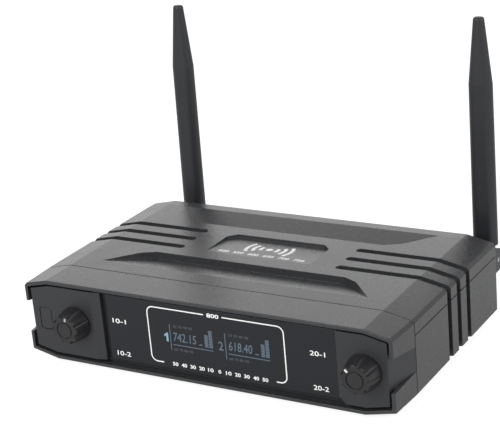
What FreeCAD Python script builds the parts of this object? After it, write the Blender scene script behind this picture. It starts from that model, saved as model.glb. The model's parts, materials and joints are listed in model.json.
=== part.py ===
import FreeCAD, Part
import math
import os

# A two-channel wireless receiver. Every size is in millimetres.
# The pieces are drawn in the case's own frame. There x runs from the middle to the right as the front is
# seen, y runs back from the plane of the bezel's lips, and z runs up from the case's underside. write() moves
# each piece to the part's frame, whose origin lies under the middle of the whole unit, on the surface that
# its feet stand on.

# ---- Case ----
case_width = 210.0
case_depth = 124.2
case_height = 43.85
wall = 2.2
foot_rise = 1.5
front_taper = 1.15
facet_width = 15.4
facet_drop = 3.05
edge_bevel = 1.5
chine_width = 15.9
chine_rise = 3.5
front_ridge_y = 32.4
front_roof_drop = 0.3
rear_ridge_inset = 7.2
rear_roof_drop = 0.25
edge_ease = 0.35

# ---- Seams between the case pieces ----
seam_gap = 0.6
fit_gap = 0.1
bezel_depth = 21.4
seam_below_roof = 10.55
tongue_wall = 1.3
tongue_reach = 3.0
panel_thickness = 2.0
panel_recess = 1.5
panel_seat = 1.1

# ---- Roof recesses ----
trough_depth = 4.0
trough_side_margin = 28.2
trough_corner_width = 13.8
trough_corner_inset = 4.0
trough_slant_width = 8.0
front_trough_length = 19.4
rear_trough_length = 20.7
badge_depth = 1.9
badge_half = 30.5
badge_front_margin = 9.2
badge_back_margin = 9.0
badge_corner = 4.6
groove_count = 3
groove_front_margin = 10.7
groove_back_margin = 10.2
groove_width = 4.6
groove_depth = 2.1
groove_length = 60.3
groove_skirt = 8.0
roof_web = 1.5

# ---- Front bezel and fascia ----
lip_wall = 1.85
notch_front_low_z = 13.5
notch_rear_low_z = 15.4
notch_front_top_margin = 12.85
notch_rear_top_margin = 16.15
pod_face_y = 0.8
pod_gap = 1.4
pod_wall = 2.0
left_pod_width = 47.0
left_pod_bevel_width = 5.2
left_pod_bevel_depth = 1.2
right_pod_width = 30.2
pod_bottom_z = 3.4
pod_corner = 2.4
plate_front_y = 4.8
plate_thickness = 2.0
wing_thickness = 1.8
ledge_thickness = 1.8
ledge_width = 1.8
lug_half = 4.0
lug_height = 6.5
lug_pod_margin = 5.0
lug_low_z = 8.5
lug_top_margin = 9.4

# ---- Display ----
window_left_margin = 2.7
window_bottom_z = 4.2
window_top_margin = 3.95
window_thickness = 2.0
window_gap = 0.2
window_ease = 0.3
glass_left_margin = 27.8
glass_right_margin = 31.3
glass_bottom_z = 9.3
glass_top_margin = 9.2
glass_frame = 3.0
glass_step = 1.6
led_radius = 1.5
led_left_margin = 13.3
led_right_margin = 18.3
led_low_z = 8.2
led_spacing_z = 17.7
led_recess = 0.4

# ---- Front board ----
board_thickness = 1.6
front_board_y = 10.0
front_board_side_margin = 5.5
front_board_low_z = 12.5
front_board_top_margin = 13.4
mid_board_left_margin = 2.0
mid_board_right_margin = 4.8
mid_board_low_z = 6.0
mid_board_top_margin = 7.4
post_margin_x = 6.0
post_low_z = 14.5
post_top_margin = 4.5
post_radius = 2.6

# ---- Volume controls ----
left_knob_margin = 30.8
right_knob_margin = 16.6
knob_turns = (10.0, -45.0)
knob_base_radius = 9.1
knob_face_radius = 7.5
knob_face_y = -9.0
knob_gap = 0.3
knob_ease = 0.5
knob_scallops = 9
scallop_radius = 1.45
scallop_offset = 0.15
scallop_flare = 2.2
scallop_reach = 7.1
knob_ring_radius = 3.9
knob_ring_width = 0.7
knob_ring_depth = 0.6
knob_pocket_radius = 6.4
knob_press_gap = 0.02
pot_width = 12.0
bushing_radius = 3.75
bushing_front_y = -1.4
shaft_radius = 3.0
shaft_front_y = -7.6
shaft_back_y = 7.0
running_gap = 0.05
pot_nut_flats = 10.4
nut_thickness = 1.8
nut_gap = 0.04

# ---- Power button ----
button_margin = 12.1
button_width = 7.0
button_height = 11.6
button_corner = 1.5
button_gap = 0.35
button_ease = 0.3
button_travel = 1.5
button_rim = 1.1
button_rim_thickness = 1.0
plunger_width = 3.0
plunger_gap = 0.15
switch_width = 8.0
switch_front_y = 6.9

# ---- Main board and what it carries ----
board_side_margin = 29.0
board_front_y = 30.0
board_back_margin = 9.0
board_rise = 5.0
standoff_radius = 3.5
standoff_inset = 6.0
standoff_front_y = 37.0
standoff_back_margin = 26.0
can_half_width = 17.0
can_length = 26.0
can_height = 8.0
can_wall = 0.6
can_inset = 27.0
can_back_margin = 58.2
chip_size = 9.0
chip_height = 1.4
audio_chip_count = 3
audio_chip_first_x = -18.0
audio_chip_pitch = 14.0
audio_chip_y = 65.0
audio_chip_width = 4.0
audio_chip_length = 10.0
audio_chip_height = 1.6
capacitor_radii = (4.0, 3.15, 3.15, 2.5)
capacitor_first_x = -40.0
capacitor_pitch = 11.0
capacitor_y = 48.0
capacitor_slenderness = 3.0
capacitor_ease = 0.5
sink_offset = 12.0
sink_margin = 22.5
sink_width = 12.0
sink_height = 14.0
sink_base = 1.5
fin_count = 5
fin_thickness = 1.0
fin_length = 4.5
regulator_width = 10.0
regulator_depth = 4.4
regulator_height = 10.0
header_width = 24.0
front_header_depth = 3.2
front_header_height = 5.0
front_header_low_z = 20.0
main_header_front_y = 36.0
main_header_depth = 4.0
main_header_height = 4.5
ribbon_thickness = 0.9
ribbon_width = 20.0
ribbon_bend = 6.0

# ---- Screws ----
screw_radius = 1.25
screw_hole_gap = 0.25
pilot_gap = 0.04
screw_head_radius = 2.6
screw_head_height = 1.6
screw_slot_radius = 1.0
screw_slot_depth = 0.8
screw_tip_gap = 0.5
case_boss_side_margin = 21.0
case_boss_front_y = 36.0
case_boss_back_margin = 15.0
case_boss_radius = 4.0
case_boss_split_z = 15.0
case_boss_web = 3.0
counterbore_radius = 3.1
case_screw_bite = 11.0

# ---- Feet ----
foot_radius = 6.5
foot_side_margin = 43.0
foot_front_y = 34.0
foot_back_margin = 18.0
foot_ease = 0.5

# ---- Rear sockets ----
audio_x = 30.0
audio_bore_radius = 3.25
audio_bore_depth = 30.0
audio_body_width = 16.0
audio_body_back = 3.0
audio_bush_radius = 5.6
audio_bush_reach = 4.5
audio_bush_ease = 0.5
audio_nut_flats = 15.0
audio_nut_thickness = 2.2
inlet_x = -12.0
inlet_width = 9.0
inlet_height = 11.0
inlet_depth = 13.0
inlet_bore_radius = 2.9
inlet_bore_depth = 9.5
inlet_pin_radius = 1.0
inlet_pin_recess = 0.5
inlet_opening_radius = 4.0
hole_gap = 0.15

# ---- Antennas ----
antenna_side_margin = 14.0
antenna_back_reach = 21.5
antenna_leans = (1.1, 0.0)
base_radius = 4.4
base_inner_reach = 6.5
flange_radius = 6.4
flange_thickness = 2.0
spigot_radius = 3.0
spigot_reach = 6.5
swivel_gap = 0.3
antenna_nut_flats = 12.0
antenna_nut_thickness = 3.0
elbow_radius = 6.2
elbow_ease = 0.6
fork_half_width = 6.9
fork_slot_half = 3.7
fork_depth = 7.5
hinge_pin_radius = 1.25
knuckle_radius = 5.9
knuckle_half_width = 3.4
blade_width = 13.5
blade_upper_width = 12.7
blade_thickness = 8.4
blade_shoulder_rise = 8.2
blade_taper_rise = 96.0
blade_tip_rise = 131.0
blade_tip_width = 5.6
blade_tip_thickness = 5.0
blade_tip_round = 1.4
blade_ease = 0.8
lead_radius = 1.2
lead_straight = 12.0
lead_first_step = (2.4, 23.0, 3.0)
lead_last_step = (15.0, 2.5, 2.2)
lead_entry = 6.5

# ---- Places that follow the case's width ----
case_half = case_width / 2
ridge_x = case_half - facet_width
facet_slope = facet_drop / (facet_width - edge_bevel)
trough_half = case_half - trough_side_margin
trough_corner_x = trough_half - trough_corner_width
trough_wall_x = trough_corner_x - trough_slant_width
groove_inner_x = case_half - groove_length
groove_chine_x = case_half - groove_skirt
left_pod_edge_x = left_pod_width - case_half
right_pod_edge_x = case_half - right_pod_width
lug_x = (left_pod_edge_x - lug_pod_margin, right_pod_edge_x + lug_pod_margin)
window_left_x = left_pod_edge_x + window_left_margin
glass_left_x = window_left_x + glass_left_margin
glass_right_x = right_pod_edge_x - glass_right_margin
led_x = (window_left_x + led_left_margin, right_pod_edge_x - led_right_margin)
front_board_half = case_half - front_board_side_margin
mid_board_left_x = left_pod_edge_x + mid_board_left_margin
mid_board_right_x = right_pod_edge_x - mid_board_right_margin
post_x = (mid_board_left_x + post_margin_x, mid_board_right_x - post_margin_x)
knob_x = (left_knob_margin - case_half, case_half - right_knob_margin)
button_x = button_margin - case_half
board_half = case_half - board_side_margin
standoff_x = board_half - standoff_inset
can_x = board_half - can_inset
case_boss_x = case_half - case_boss_side_margin
foot_x = case_half - foot_side_margin
antenna_x = case_half - antenna_side_margin

# ---- Places that follow its depth ----
cover_front_y = bezel_depth + seam_gap
rear_ridge_y = case_depth - rear_ridge_inset
panel_back_y = case_depth - panel_recess
panel_front_y = panel_back_y - panel_thickness
front_trough_wall_y = front_ridge_y + front_trough_length
rear_trough_wall_y = rear_ridge_y - rear_trough_length
badge_front_y = front_trough_wall_y + badge_front_margin
badge_back_y = rear_trough_wall_y - badge_back_margin
groove_first_y = front_trough_wall_y + groove_front_margin
groove_last_y = rear_trough_wall_y - groove_back_margin
plate_back_y = plate_front_y + plate_thickness
pod_back_y = pod_face_y + pod_wall
window_front_y = plate_front_y - window_thickness
front_board_back_y = front_board_y + board_thickness
board_back_y = case_depth - board_back_margin
can_y = case_depth - can_back_margin
standoff_y = (standoff_front_y, case_depth - standoff_back_margin)
case_boss_y = (case_boss_front_y, case_depth - case_boss_back_margin)
foot_y = (foot_front_y, case_depth - foot_back_margin)
antenna_y = case_depth + antenna_back_reach
base_inner_y = panel_front_y - base_inner_reach
flange_back_y = panel_back_y + flange_thickness
fork_root_y = antenna_y - fork_depth
unit_front_y = knob_face_y
unit_back_y = antenna_y + elbow_radius
shift = FreeCAD.Vector(0, -(unit_front_y + unit_back_y) / 2, foot_rise)

# ---- Places that follow its height ----
middle_z = case_height / 2
shell_seam_z = case_height - seam_below_roof
notch_front_top_z = case_height - notch_front_top_margin
notch_rear_top_z = case_height - notch_rear_top_margin
lug_high_z = case_height - lug_top_margin
window_top_z = case_height - window_top_margin
glass_top_z = case_height - glass_top_margin
led_z = (led_low_z, led_low_z + led_spacing_z)
front_board_high_z = case_height - front_board_top_margin
mid_board_high_z = case_height - mid_board_top_margin
post_z = (post_low_z, mid_board_high_z - post_top_margin)
board_bottom_z = wall + board_rise
board_top_z = board_bottom_z + board_thickness
audio_z = board_top_z + audio_body_width / 2
inlet_z = board_top_z + inlet_height / 2
blade_shoulder_z = middle_z + blade_shoulder_rise
blade_taper_z = middle_z + blade_taper_rise
blade_tip_z = middle_z + blade_tip_rise

X = FreeCAD.Vector(1, 0, 0)
Y = FreeCAD.Vector(0, 1, 0)
Z = FreeCAD.Vector(0, 0, 1)


# ---- Shape helpers ----
def box(x0, x1, y0, y1, z0, z1):
    return Part.makeBox(x1 - x0, y1 - y0, z1 - z0, FreeCAD.Vector(x0, y0, z0))


def rod(radius, start, direction, length):
    return Part.makeCylinder(radius, length, FreeCAD.Vector(*start), direction)


def along_y(radius, x, z, y0, y1):
    return rod(radius, (x, y0, z), Y, y1 - y0)


def along_z(radius, x, y, z0, z1):
    return rod(radius, (x, y, z0), Z, z1 - z0)


def plan_prism(points, z0, z1):
    """An outline in plan, carried up from z0 to z1."""
    corners = [FreeCAD.Vector(x, y, z0) for x, y in points]
    face = Part.Face(Part.makePolygon(corners + corners[:1]))
    return face.extrude(Z * (z1 - z0))


def side_prism(points, x0, x1):
    """An outline of (y, z) corners, carried across from x0 to x1."""
    corners = [FreeCAD.Vector(x0, y, z) for y, z in points]
    face = Part.Face(Part.makePolygon(corners + corners[:1]))
    return face.extrude(X * (x1 - x0))


def hex_nut(flats, x, z, y0, y1, bore):
    corner = flats / 2 / math.cos(math.pi / 6)
    turns = [math.pi / 3 * i for i in range(6)]
    corners = [FreeCAD.Vector(x + corner * math.cos(a), y0, z + corner * math.sin(a)) for a in turns]
    face = Part.Face(Part.makePolygon(corners + corners[:1]))
    return face.extrude(Y * (y1 - y0)).cut(along_y(bore, x, z, y0 - 1, y1 + 1))


def mirrored(shape):
    return shape.mirror(FreeCAD.Vector(0, 0, 0), X)


def fused(shapes):
    whole = shapes[0]
    for shape in shapes[1:]:
        whole = whole.fuse(shape)
    return whole.removeSplitter()


def inset_outline(points, distance):
    """The corners of an anticlockwise outline, moved so that each side goes inward by the distance."""
    moved = []
    for i, (x, y) in enumerate(points):
        before = points[i - 1]
        after = points[(i + 1) % len(points)]
        arriving = FreeCAD.Vector(x - before[0], y - before[1], 0).normalize()
        leaving = FreeCAD.Vector(after[0] - x, after[1] - y, 0).normalize()
        first = FreeCAD.Vector(-arriving.y, arriving.x, 0)
        second = FreeCAD.Vector(-leaving.y, leaving.x, 0)
        step = (first + second) * (distance / (1 + first.dot(second)))
        moved.append((x + step.x, y + step.y))
    return moved


def rounded_path(points):
    """Straight runs joined by tangent arcs, each as large as its two runs allow."""
    corners = [FreeCAD.Vector(*p) for p in points]
    edges = []
    start = corners[0]
    for before, here, after in zip(corners, corners[1:], corners[2:]):
        arriving = (here - before).normalize()
        leaving = (after - here).normalize()
        turn = arriving.getAngle(leaving)
        trim = 0.45 * min(here.distanceToPoint(before), here.distanceToPoint(after))
        radius = trim / math.tan(turn / 2)
        enter = here - arriving * trim
        leave = here + leaving * trim
        inward = (leaving - arriving).normalize()
        middle = here + inward * (radius / math.cos(turn / 2) - radius)
        edges.append(Part.LineSegment(start, enter).toShape())
        edges.append(Part.Arc(enter, middle, leave).toShape())
        start = leave
    edges.append(Part.LineSegment(start, corners[-1]).toShape())
    return Part.Wire(edges)


# ---- Case blocks ----
def roof_drop(y):
    """How far the roof lies below its plateau, at a distance back from the lips."""
    if y < front_ridge_y:
        return front_roof_drop * (front_ridge_y - y) / front_ridge_y
    if y > rear_ridge_y:
        return rear_roof_drop * (y - rear_ridge_y) / (case_depth - rear_ridge_y)
    return 0.0


def half_width(y):
    """Half the case's width: the bezel narrows a little towards its front."""
    return case_half - front_taper * max(0, bezel_depth - y) / bezel_depth


def case_outline(y, inset):
    """The case's faceted outline across, at one distance back. Far enough in, the bevel runs out."""
    top = case_height - roof_drop(y)
    half = half_width(y)
    corner_x = half - edge_bevel
    corner_z = top - facet_slope * (corner_x - ridge_x)
    bevel = [(half, corner_z - edge_bevel), (corner_x, corner_z)]
    if inset > 1.9 * edge_bevel:
        bevel = [(half, top - facet_slope * (half - ridge_x))]
    right = [(half - chine_width, 0), (half, chine_rise)] + bevel + [(ridge_x, top)]
    left = [(-x, z) for x, z in reversed(right)]
    corners = [FreeCAD.Vector(x, y, z) for x, z in inset_outline(right + left, inset)]
    return Part.makePolygon(corners + corners[:1])


def case_block(front, back, inset=0.0):
    ridges = [y for y in (bezel_depth, front_ridge_y, rear_ridge_y) if front < y < back]
    return Part.makeLoft([case_outline(y, inset) for y in [front] + ridges + [back]], True, True)


def case_ring(front, back, outer_inset, inner_inset):
    return case_block(front, back, outer_inset).cut(case_block(front - 1, back + 1, inner_inset))


def case_skin():
    """The whole case as one block, with the edges of its front and rear rims eased."""
    sections = [
        case_outline(0, edge_ease),
        case_outline(edge_ease, 0),
        case_outline(bezel_depth, 0),
        case_outline(front_ridge_y, 0),
        case_outline(rear_ridge_y, 0),
        case_outline(case_depth - edge_ease, 0),
        case_outline(case_depth, edge_ease),
    ]
    return Part.makeLoft(sections, True, True)


# ---- Roof recesses: solids to cut, grown by the web under them when they shape the roof's inside ----
def wedge_recess(plan, ridge_y, wall_y, depth, grow):
    """A recess whose floor falls from the plateau at ridge_y to its depth at wall_y."""
    fall = math.copysign(1, wall_y - ridge_y)
    low = case_height - depth - grow
    beyond = wall_y + fall * (grow + 1)
    slope = depth / (wall_y - ridge_y)
    profile = [
        (ridge_y - fall * grow, case_height - grow + slope * fall * grow),
        (beyond, low - slope * (beyond - wall_y)),
        (beyond, case_height + 5),
        (ridge_y - fall * grow, case_height + 5),
    ]
    solid = plan_prism(inset_outline(plan, -grow), case_height - 20, case_height + 5)
    return solid.common(side_prism(profile, -case_half, case_half))


def trough(ridge_y, wall_y, grow):
    corner_y = wall_y - math.copysign(trough_corner_inset, wall_y - ridge_y)
    right = [(trough_half, ridge_y), (trough_corner_x, corner_y), (trough_wall_x, wall_y)]
    plan = right + [(-x, y) for x, y in reversed(right)]
    if wall_y < ridge_y:
        plan.reverse()
    return wedge_recess(plan, ridge_y, wall_y, trough_depth, grow)


def badge_recess(grow):
    right = [
        (badge_half, badge_front_y),
        (badge_half, badge_back_y - badge_corner),
        (badge_half - badge_corner, badge_back_y),
    ]
    plan = right + [(-x, y) for x, y in reversed(right)]
    return wedge_recess(plan, badge_front_y, badge_back_y, badge_depth, grow)


def side_grooves(grow):
    """The three ribs' grooves on the right, from their round ends on the roof down to the chine."""
    layer = case_ring(bezel_depth, rear_ridge_y, -5, groove_depth + grow)
    layer = layer.cut(box(-case_half, groove_chine_x - grow, 0, case_depth, -10, middle_z))
    half = groove_width / 2 + grow
    start_x = groove_inner_x + groove_width / 2
    end_x = case_half + 5
    pitch = (groove_last_y - groove_first_y) / (groove_count - 1)
    grooves = []
    for i in range(groove_count):
        y = groove_first_y + i * pitch
        near_end = FreeCAD.Vector(start_x, y - half, -10)
        far_end = FreeCAD.Vector(start_x, y + half, -10)
        near_side = FreeCAD.Vector(end_x, y - half, -10)
        far_side = FreeCAD.Vector(end_x, y + half, -10)
        edges = [
            Part.LineSegment(near_end, near_side).toShape(),
            Part.LineSegment(near_side, far_side).toShape(),
            Part.LineSegment(far_side, far_end).toShape(),
            Part.Arc(far_end, FreeCAD.Vector(start_x - half, y, -10), near_end).toShape(),
        ]
        slot = Part.Face(Part.Wire(edges)).extrude(Z * (case_height + 15))
        grooves.append(layer.common(slot))
    return grooves


def roof_recesses(grow):
    grooves = side_grooves(grow)
    recesses = [
        trough(front_ridge_y, front_trough_wall_y, grow),
        trough(rear_ridge_y, rear_trough_wall_y, grow),
        badge_recess(grow),
    ]
    return recesses + grooves + [mirrored(g) for g in grooves]


# ---- Case pieces ----
def shell_body():
    """The case behind the bezel, hollow, with its recesses and the slot that holds the rear panel."""
    body = case_skin().common(box(-case_half, case_half, cover_front_y, case_depth, 0, case_height))
    hollow = case_block(cover_front_y - 1, case_depth + 1, wall)
    for recess in roof_recesses(roof_web):
        hollow = hollow.cut(recess)
    slot = case_block(panel_front_y - fit_gap, panel_back_y + fit_gap, panel_seat - fit_gap)
    body = body.cut(hollow).cut(slot)
    for recess in roof_recesses(0):
        body = body.cut(recess)
    return body


def boss_places():
    return [(side * case_boss_x, y) for side in (-1, 1) for y in case_boss_y]


def top_cover(body):
    cover = body.common(box(-case_half, case_half, 0, case_depth, shell_seam_z + seam_gap / 2, case_height))
    inside = case_block(cover_front_y, case_depth, wall / 2)
    for x, y in boss_places():
        boss = along_z(case_boss_radius - 0.5, x, y, case_boss_split_z, case_height).common(inside)
        cover = cover.fuse(boss)
    for x, y in boss_places():
        pilot_top = case_boss_split_z + case_screw_bite + 1
        cover = cover.cut(along_z(screw_radius + pilot_gap, x, y, case_boss_split_z - 1, pilot_top))
    return cover.removeSplitter()


def bottom_shell(body):
    shell = body.common(box(-case_half, case_half, 0, case_depth, 0, shell_seam_z - seam_gap / 2))
    skirt_low = shell_seam_z - 2 * tongue_reach
    skirt = case_ring(cover_front_y + tongue_reach + 1, panel_front_y - 1, wall - 0.2, wall + tongue_wall)
    foot = skirt.common(box(-case_half, case_half, 0, case_depth, skirt_low, shell_seam_z - seam_gap / 2))
    lip = case_ring(cover_front_y + tongue_reach + 1, panel_front_y - 1, wall + fit_gap, wall + tongue_wall)
    lip = lip.common(box(-case_half, case_half, 0, case_depth, skirt_low, shell_seam_z + tongue_reach / 2))
    for groove in side_grooves(roof_web + fit_gap):
        for side in (groove, mirrored(groove)):
            lip = lip.cut(side)
            foot = foot.cut(side)
    pieces = [shell] + [s for s in foot.Solids] + [s for s in lip.Solids]
    for x, y in boss_places():
        pieces.append(along_z(case_boss_radius, x, y, wall / 2, case_boss_split_z))
    for x, y in standoff_places():
        pieces.append(along_z(standoff_radius, x, y, wall / 2, board_bottom_z))
    shell = fused(pieces)
    for x, y in boss_places():
        seat = case_boss_split_z - case_boss_web
        shell = shell.cut(along_z(counterbore_radius, x, y, -1, seat))
        shell = shell.cut(along_z(screw_radius + screw_hole_gap, x, y, -1, case_boss_split_z + 1))
    for x, y in standoff_places():
        shell = shell.cut(along_z(screw_radius + pilot_gap, x, y, wall, board_bottom_z + 1))
    return shell


def notch_x(y):
    """How far out the notch's surface lies: at the pod's flank in front, at the case's side by the seam."""
    front_x = half_width(pod_face_y) - lip_wall - pod_gap
    return front_x + (case_half - front_x) * (y - pod_face_y) / (bezel_depth - pod_face_y)


def notch_block(side, front, back, inward, grow):
    """What lies in the notch between the bezel's prongs, from the notch's surface or further inward."""
    outer = case_half + 1
    plan = [(notch_x(front) - inward, front), (outer, front), (outer, back), (notch_x(back) - inward, back)]
    profile = []
    for y in (front, back):
        low = notch_front_low_z + (notch_rear_low_z - notch_front_low_z) * y / bezel_depth
        profile.append((y, low - grow))
    for y in (back, front):
        high = notch_front_top_z + (notch_rear_top_z - notch_front_top_z) * y / bezel_depth
        profile.append((y, high + grow))
    solid = plan_prism([(side * x, y) for x, y in plan], 0, case_height)
    return solid.common(side_prism(profile, -outer, outer))


def lug_places():
    return [(x, z) for x in lug_x for z in (lug_low_z, lug_high_z)]


def front_bezel():
    """The front frame: lips round the fascia, notches in its flanks, a ledge and a tongue into the case."""
    bezel = case_skin().common(box(-case_half, case_half, 0, bezel_depth, 0, case_height))
    bezel = bezel.cut(case_block(-1, bezel_depth + 1, lip_wall))
    ledge = case_ring(plate_back_y, plate_back_y + ledge_thickness, lip_wall - 0.3, lip_wall + ledge_width)
    tongue_inner = wall + fit_gap + tongue_wall
    root = case_ring(bezel_depth - 2, bezel_depth, lip_wall - 0.3, tongue_inner)
    tongue = case_ring(bezel_depth - 1, bezel_depth + tongue_reach, wall + fit_gap, tongue_inner)
    pieces = [bezel, ledge, root, tongue]
    for x, z in lug_places():
        reach = z - lug_height if z < middle_z else z + lug_height
        low, high = sorted((reach, z + math.copysign(lug_half, z - reach)))
        lug = box(x - lug_half, x + lug_half, plate_back_y, plate_back_y + ledge_thickness, low, high)
        pieces.append(lug.common(case_block(0, bezel_depth, lip_wall - 0.3)))
    bezel = fused(pieces)
    for side in (-1, 1):
        bezel = bezel.cut(notch_block(side, -1, bezel_depth + 1, wing_thickness + fit_gap, 0))
    for x, z in lug_places():
        bezel = bezel.cut(along_y(screw_radius + screw_hole_gap, x, z, plate_back_y - 1, bezel_depth))
    return bezel


def rear_panel():
    panel = case_block(panel_front_y, panel_back_y, panel_seat)
    holes = [
        (base_radius + hole_gap, -antenna_x, middle_z),
        (base_radius + hole_gap, antenna_x, middle_z),
        (audio_bush_radius + hole_gap, audio_x, audio_z),
        (inlet_opening_radius, inlet_x, inlet_z),
    ]
    for radius, x, z in holes:
        panel = panel.cut(along_y(radius, x, z, panel_front_y - 1, panel_back_y + 1))
    return panel


# ---- Fascia ----
def pod(side, front, back, shrink):
    """The block of one end pod between two depths, inset on every side by shrink."""
    block = case_block(front, back, lip_wall + pod_gap + shrink)
    if side < 0:
        keep = box(-case_half, left_pod_edge_x - shrink, front, back, pod_bottom_z + shrink, case_height)
    else:
        keep = box(right_pod_edge_x + shrink, case_half, front, back, pod_bottom_z + shrink, case_height)
    return block.common(keep)


def pod_wing(side):
    """The pod's flank, which fills the bezel's notch and comes out flush with the case at the seam."""
    slab = notch_block(side, pod_face_y, bezel_depth, wing_thickness, -fit_gap)
    return slab.cut(notch_block(side, pod_face_y - 1, bezel_depth + 1, 0, 1))


def front_fascia():
    plate = case_block(plate_front_y, plate_back_y, lip_wall + fit_gap)
    for side in (-1, 1):
        plate = plate.cut(notch_block(side, 0, bezel_depth, 0, 0))
    left = pod(-1, pod_face_y, plate_back_y, 0)
    bevel = [
        (left_pod_edge_x - left_pod_bevel_width, pod_face_y - 1),
        (left_pod_edge_x + 1, pod_face_y - 1),
        (left_pod_edge_x + 1, pod_face_y + left_pod_bevel_depth * (1 + 1 / left_pod_bevel_width)),
        (left_pod_edge_x - left_pod_bevel_width, pod_face_y),
    ]
    left = left.cut(plan_prism(bevel, 0, case_height))
    right = pod(1, pod_face_y, plate_back_y, 0)
    corner = FreeCAD.Vector(right_pod_edge_x, 0, pod_bottom_z)
    cutter = box(-pod_corner, pod_corner, 0, plate_back_y, -pod_corner, pod_corner)
    cutter.rotate(FreeCAD.Vector(0, 0, 0), Y, 45)
    cutter.translate(corner)
    right = right.cut(cutter.common(box(-case_half, case_half, 0, plate_front_y, 0, case_height)))
    fascia = fused([plate, left, right, pod_wing(-1), pod_wing(1)])
    for side in (-1, 1):
        fascia = fascia.cut(pod(side, pod_back_y, plate_back_y + 1, pod_wall))
    bosses = [along_y(post_radius, x, z, pod_face_y + 1, plate_back_y) for x, z in lug_places()]
    posts = [along_y(post_radius, x, z, plate_back_y - 1, front_board_y) for x, z in post_places()]
    fascia = fused([fascia] + bosses + posts)
    for x, z in lug_places():
        fascia = fascia.cut(along_y(screw_radius + pilot_gap, x, z, pod_back_y, plate_back_y + 1))
    for x, z in post_places():
        fascia = fascia.cut(along_y(screw_radius + pilot_gap, x, z, plate_front_y + 0.6, front_board_y + 1))
    glass = box(glass_left_x, glass_right_x, 0, plate_back_y + 1, glass_bottom_z, glass_top_z)
    fascia = fascia.cut(glass)
    for x in led_x:
        for z in led_z:
            fascia = fascia.cut(along_y(led_radius + hole_gap, x, z, 0, plate_back_y + 1))
    for x in knob_x:
        fascia = fascia.cut(along_y(bushing_radius + hole_gap, x, middle_z, 0, pod_back_y + 1))
    return fascia.cut(button_block(button_gap, 0, pod_back_y + 1))


def display_window():
    window = box(
        window_left_x,
        right_pod_edge_x - window_gap,
        window_front_y,
        plate_front_y,
        window_bottom_z,
        window_top_z,
    )
    front = [e for e in window.Edges if all(abs(v.Y - window_front_y) < 0.01 for v in e.Vertexes)]
    return window.makeFillet(window_ease, front)


def display_module():
    """The display's metal frame and, stepped up into the fascia's opening, its glass."""
    frame = box(
        glass_left_x - glass_frame,
        glass_right_x + glass_frame,
        plate_back_y,
        front_board_y,
        glass_bottom_z - glass_frame / 2,
        glass_top_z + glass_frame / 2,
    )
    glass = box(
        glass_left_x + window_gap,
        glass_right_x - window_gap,
        plate_back_y - glass_step,
        plate_back_y,
        glass_bottom_z + window_gap,
        glass_top_z - window_gap,
    )
    return frame.fuse(glass).removeSplitter()


# ---- Front board ----
def post_places():
    return [(x, z) for x in post_x for z in post_z]


def front_board():
    ends = box(
        -front_board_half,
        front_board_half,
        front_board_y,
        front_board_back_y,
        front_board_low_z,
        front_board_high_z,
    )
    middle = box(
        mid_board_left_x,
        mid_board_right_x,
        front_board_y,
        front_board_back_y,
        mid_board_low_z,
        mid_board_high_z,
    )
    board = ends.fuse(middle).removeSplitter()
    for x, z in post_places():
        hole = along_y(screw_radius + screw_hole_gap, x, z, front_board_y - 1, front_board_back_y + 1)
        board = board.cut(hole)
    return board


def indicator_leds():
    dome_y = plate_front_y + led_recess + led_radius
    leds = []
    for x in led_x:
        for z in led_z:
            stem = along_y(led_radius, x, z, dome_y, front_board_y)
            dome = Part.makeSphere(led_radius, FreeCAD.Vector(x, dome_y, z))
            leds.append(stem.fuse(dome).removeSplitter())
    return Part.makeCompound(leds)


def potentiometer(x):
    half = pot_width / 2
    body = box(x - half, x + half, pod_back_y, front_board_y, middle_z - half, middle_z + half)
    bushing = along_y(bushing_radius, x, middle_z, bushing_front_y, pod_back_y + 1)
    bore = along_y(shaft_radius + running_gap, x, middle_z, bushing_front_y - 1, shaft_back_y + running_gap)
    return body.fuse(bushing).removeSplitter().cut(bore)


def pot_shaft(x):
    return along_y(shaft_radius, x, middle_z, shaft_front_y, shaft_back_y)


def pot_nut(x):
    front = pod_face_y - nut_thickness
    return hex_nut(pot_nut_flats, x, middle_z, front, pod_face_y, bushing_radius + nut_gap)


def volume_knob(x, turn):
    """A tapered knob whose scallops fade from its face, turned so that one tooth points to its setting."""
    base_y = pod_face_y - knob_gap
    face = FreeCAD.Vector(x, knob_face_y, middle_z)
    knob = Part.makeCone(knob_face_radius, knob_base_radius, base_y - knob_face_y, face, Y)
    rims = [e for e in knob.Edges if e.Closed]
    knob = knob.makeFillet(knob_ease, rims)
    flare = FreeCAD.Vector(scallop_flare, scallop_reach, 0)
    start = FreeCAD.Vector(knob_face_radius + scallop_offset, 0, 0) - flare * 0.1
    for i in range(knob_scallops):
        scallop = Part.makeCylinder(scallop_radius, flare.Length * 1.5, start, flare)
        scallop.rotate(FreeCAD.Vector(0, 0, 0), Y, turn - 90 + 360.0 / knob_scallops * (i + 0.5))
        scallop.translate(face)
        knob = knob.cut(scallop)
    ring_back = knob_face_y + knob_ring_depth
    ring = along_y(knob_ring_radius + knob_ring_width, x, middle_z, knob_face_y - 1, ring_back)
    knob = knob.cut(ring.cut(along_y(knob_ring_radius, x, middle_z, knob_face_y - 2, ring_back + 1)))
    knob = knob.cut(along_y(knob_pocket_radius, x, middle_z, bushing_front_y - knob_gap, base_y + 1))
    bore_y = shaft_front_y - knob_gap
    return knob.cut(along_y(shaft_radius + knob_press_gap, x, middle_z, bore_y, base_y + 1))


# ---- Power button ----
def button_block(grow, front, back):
    half_width = button_width / 2 + grow
    half_height = button_height / 2 + grow
    block = box(
        button_x - half_width,
        button_x + half_width,
        front,
        back,
        middle_z - half_height,
        middle_z + half_height,
    )
    corners = [e for e in block.Edges if abs(e.Vertexes[0].Y - e.Vertexes[-1].Y) > 0.1]
    return block.makeFillet(button_corner + grow, corners)


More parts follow.
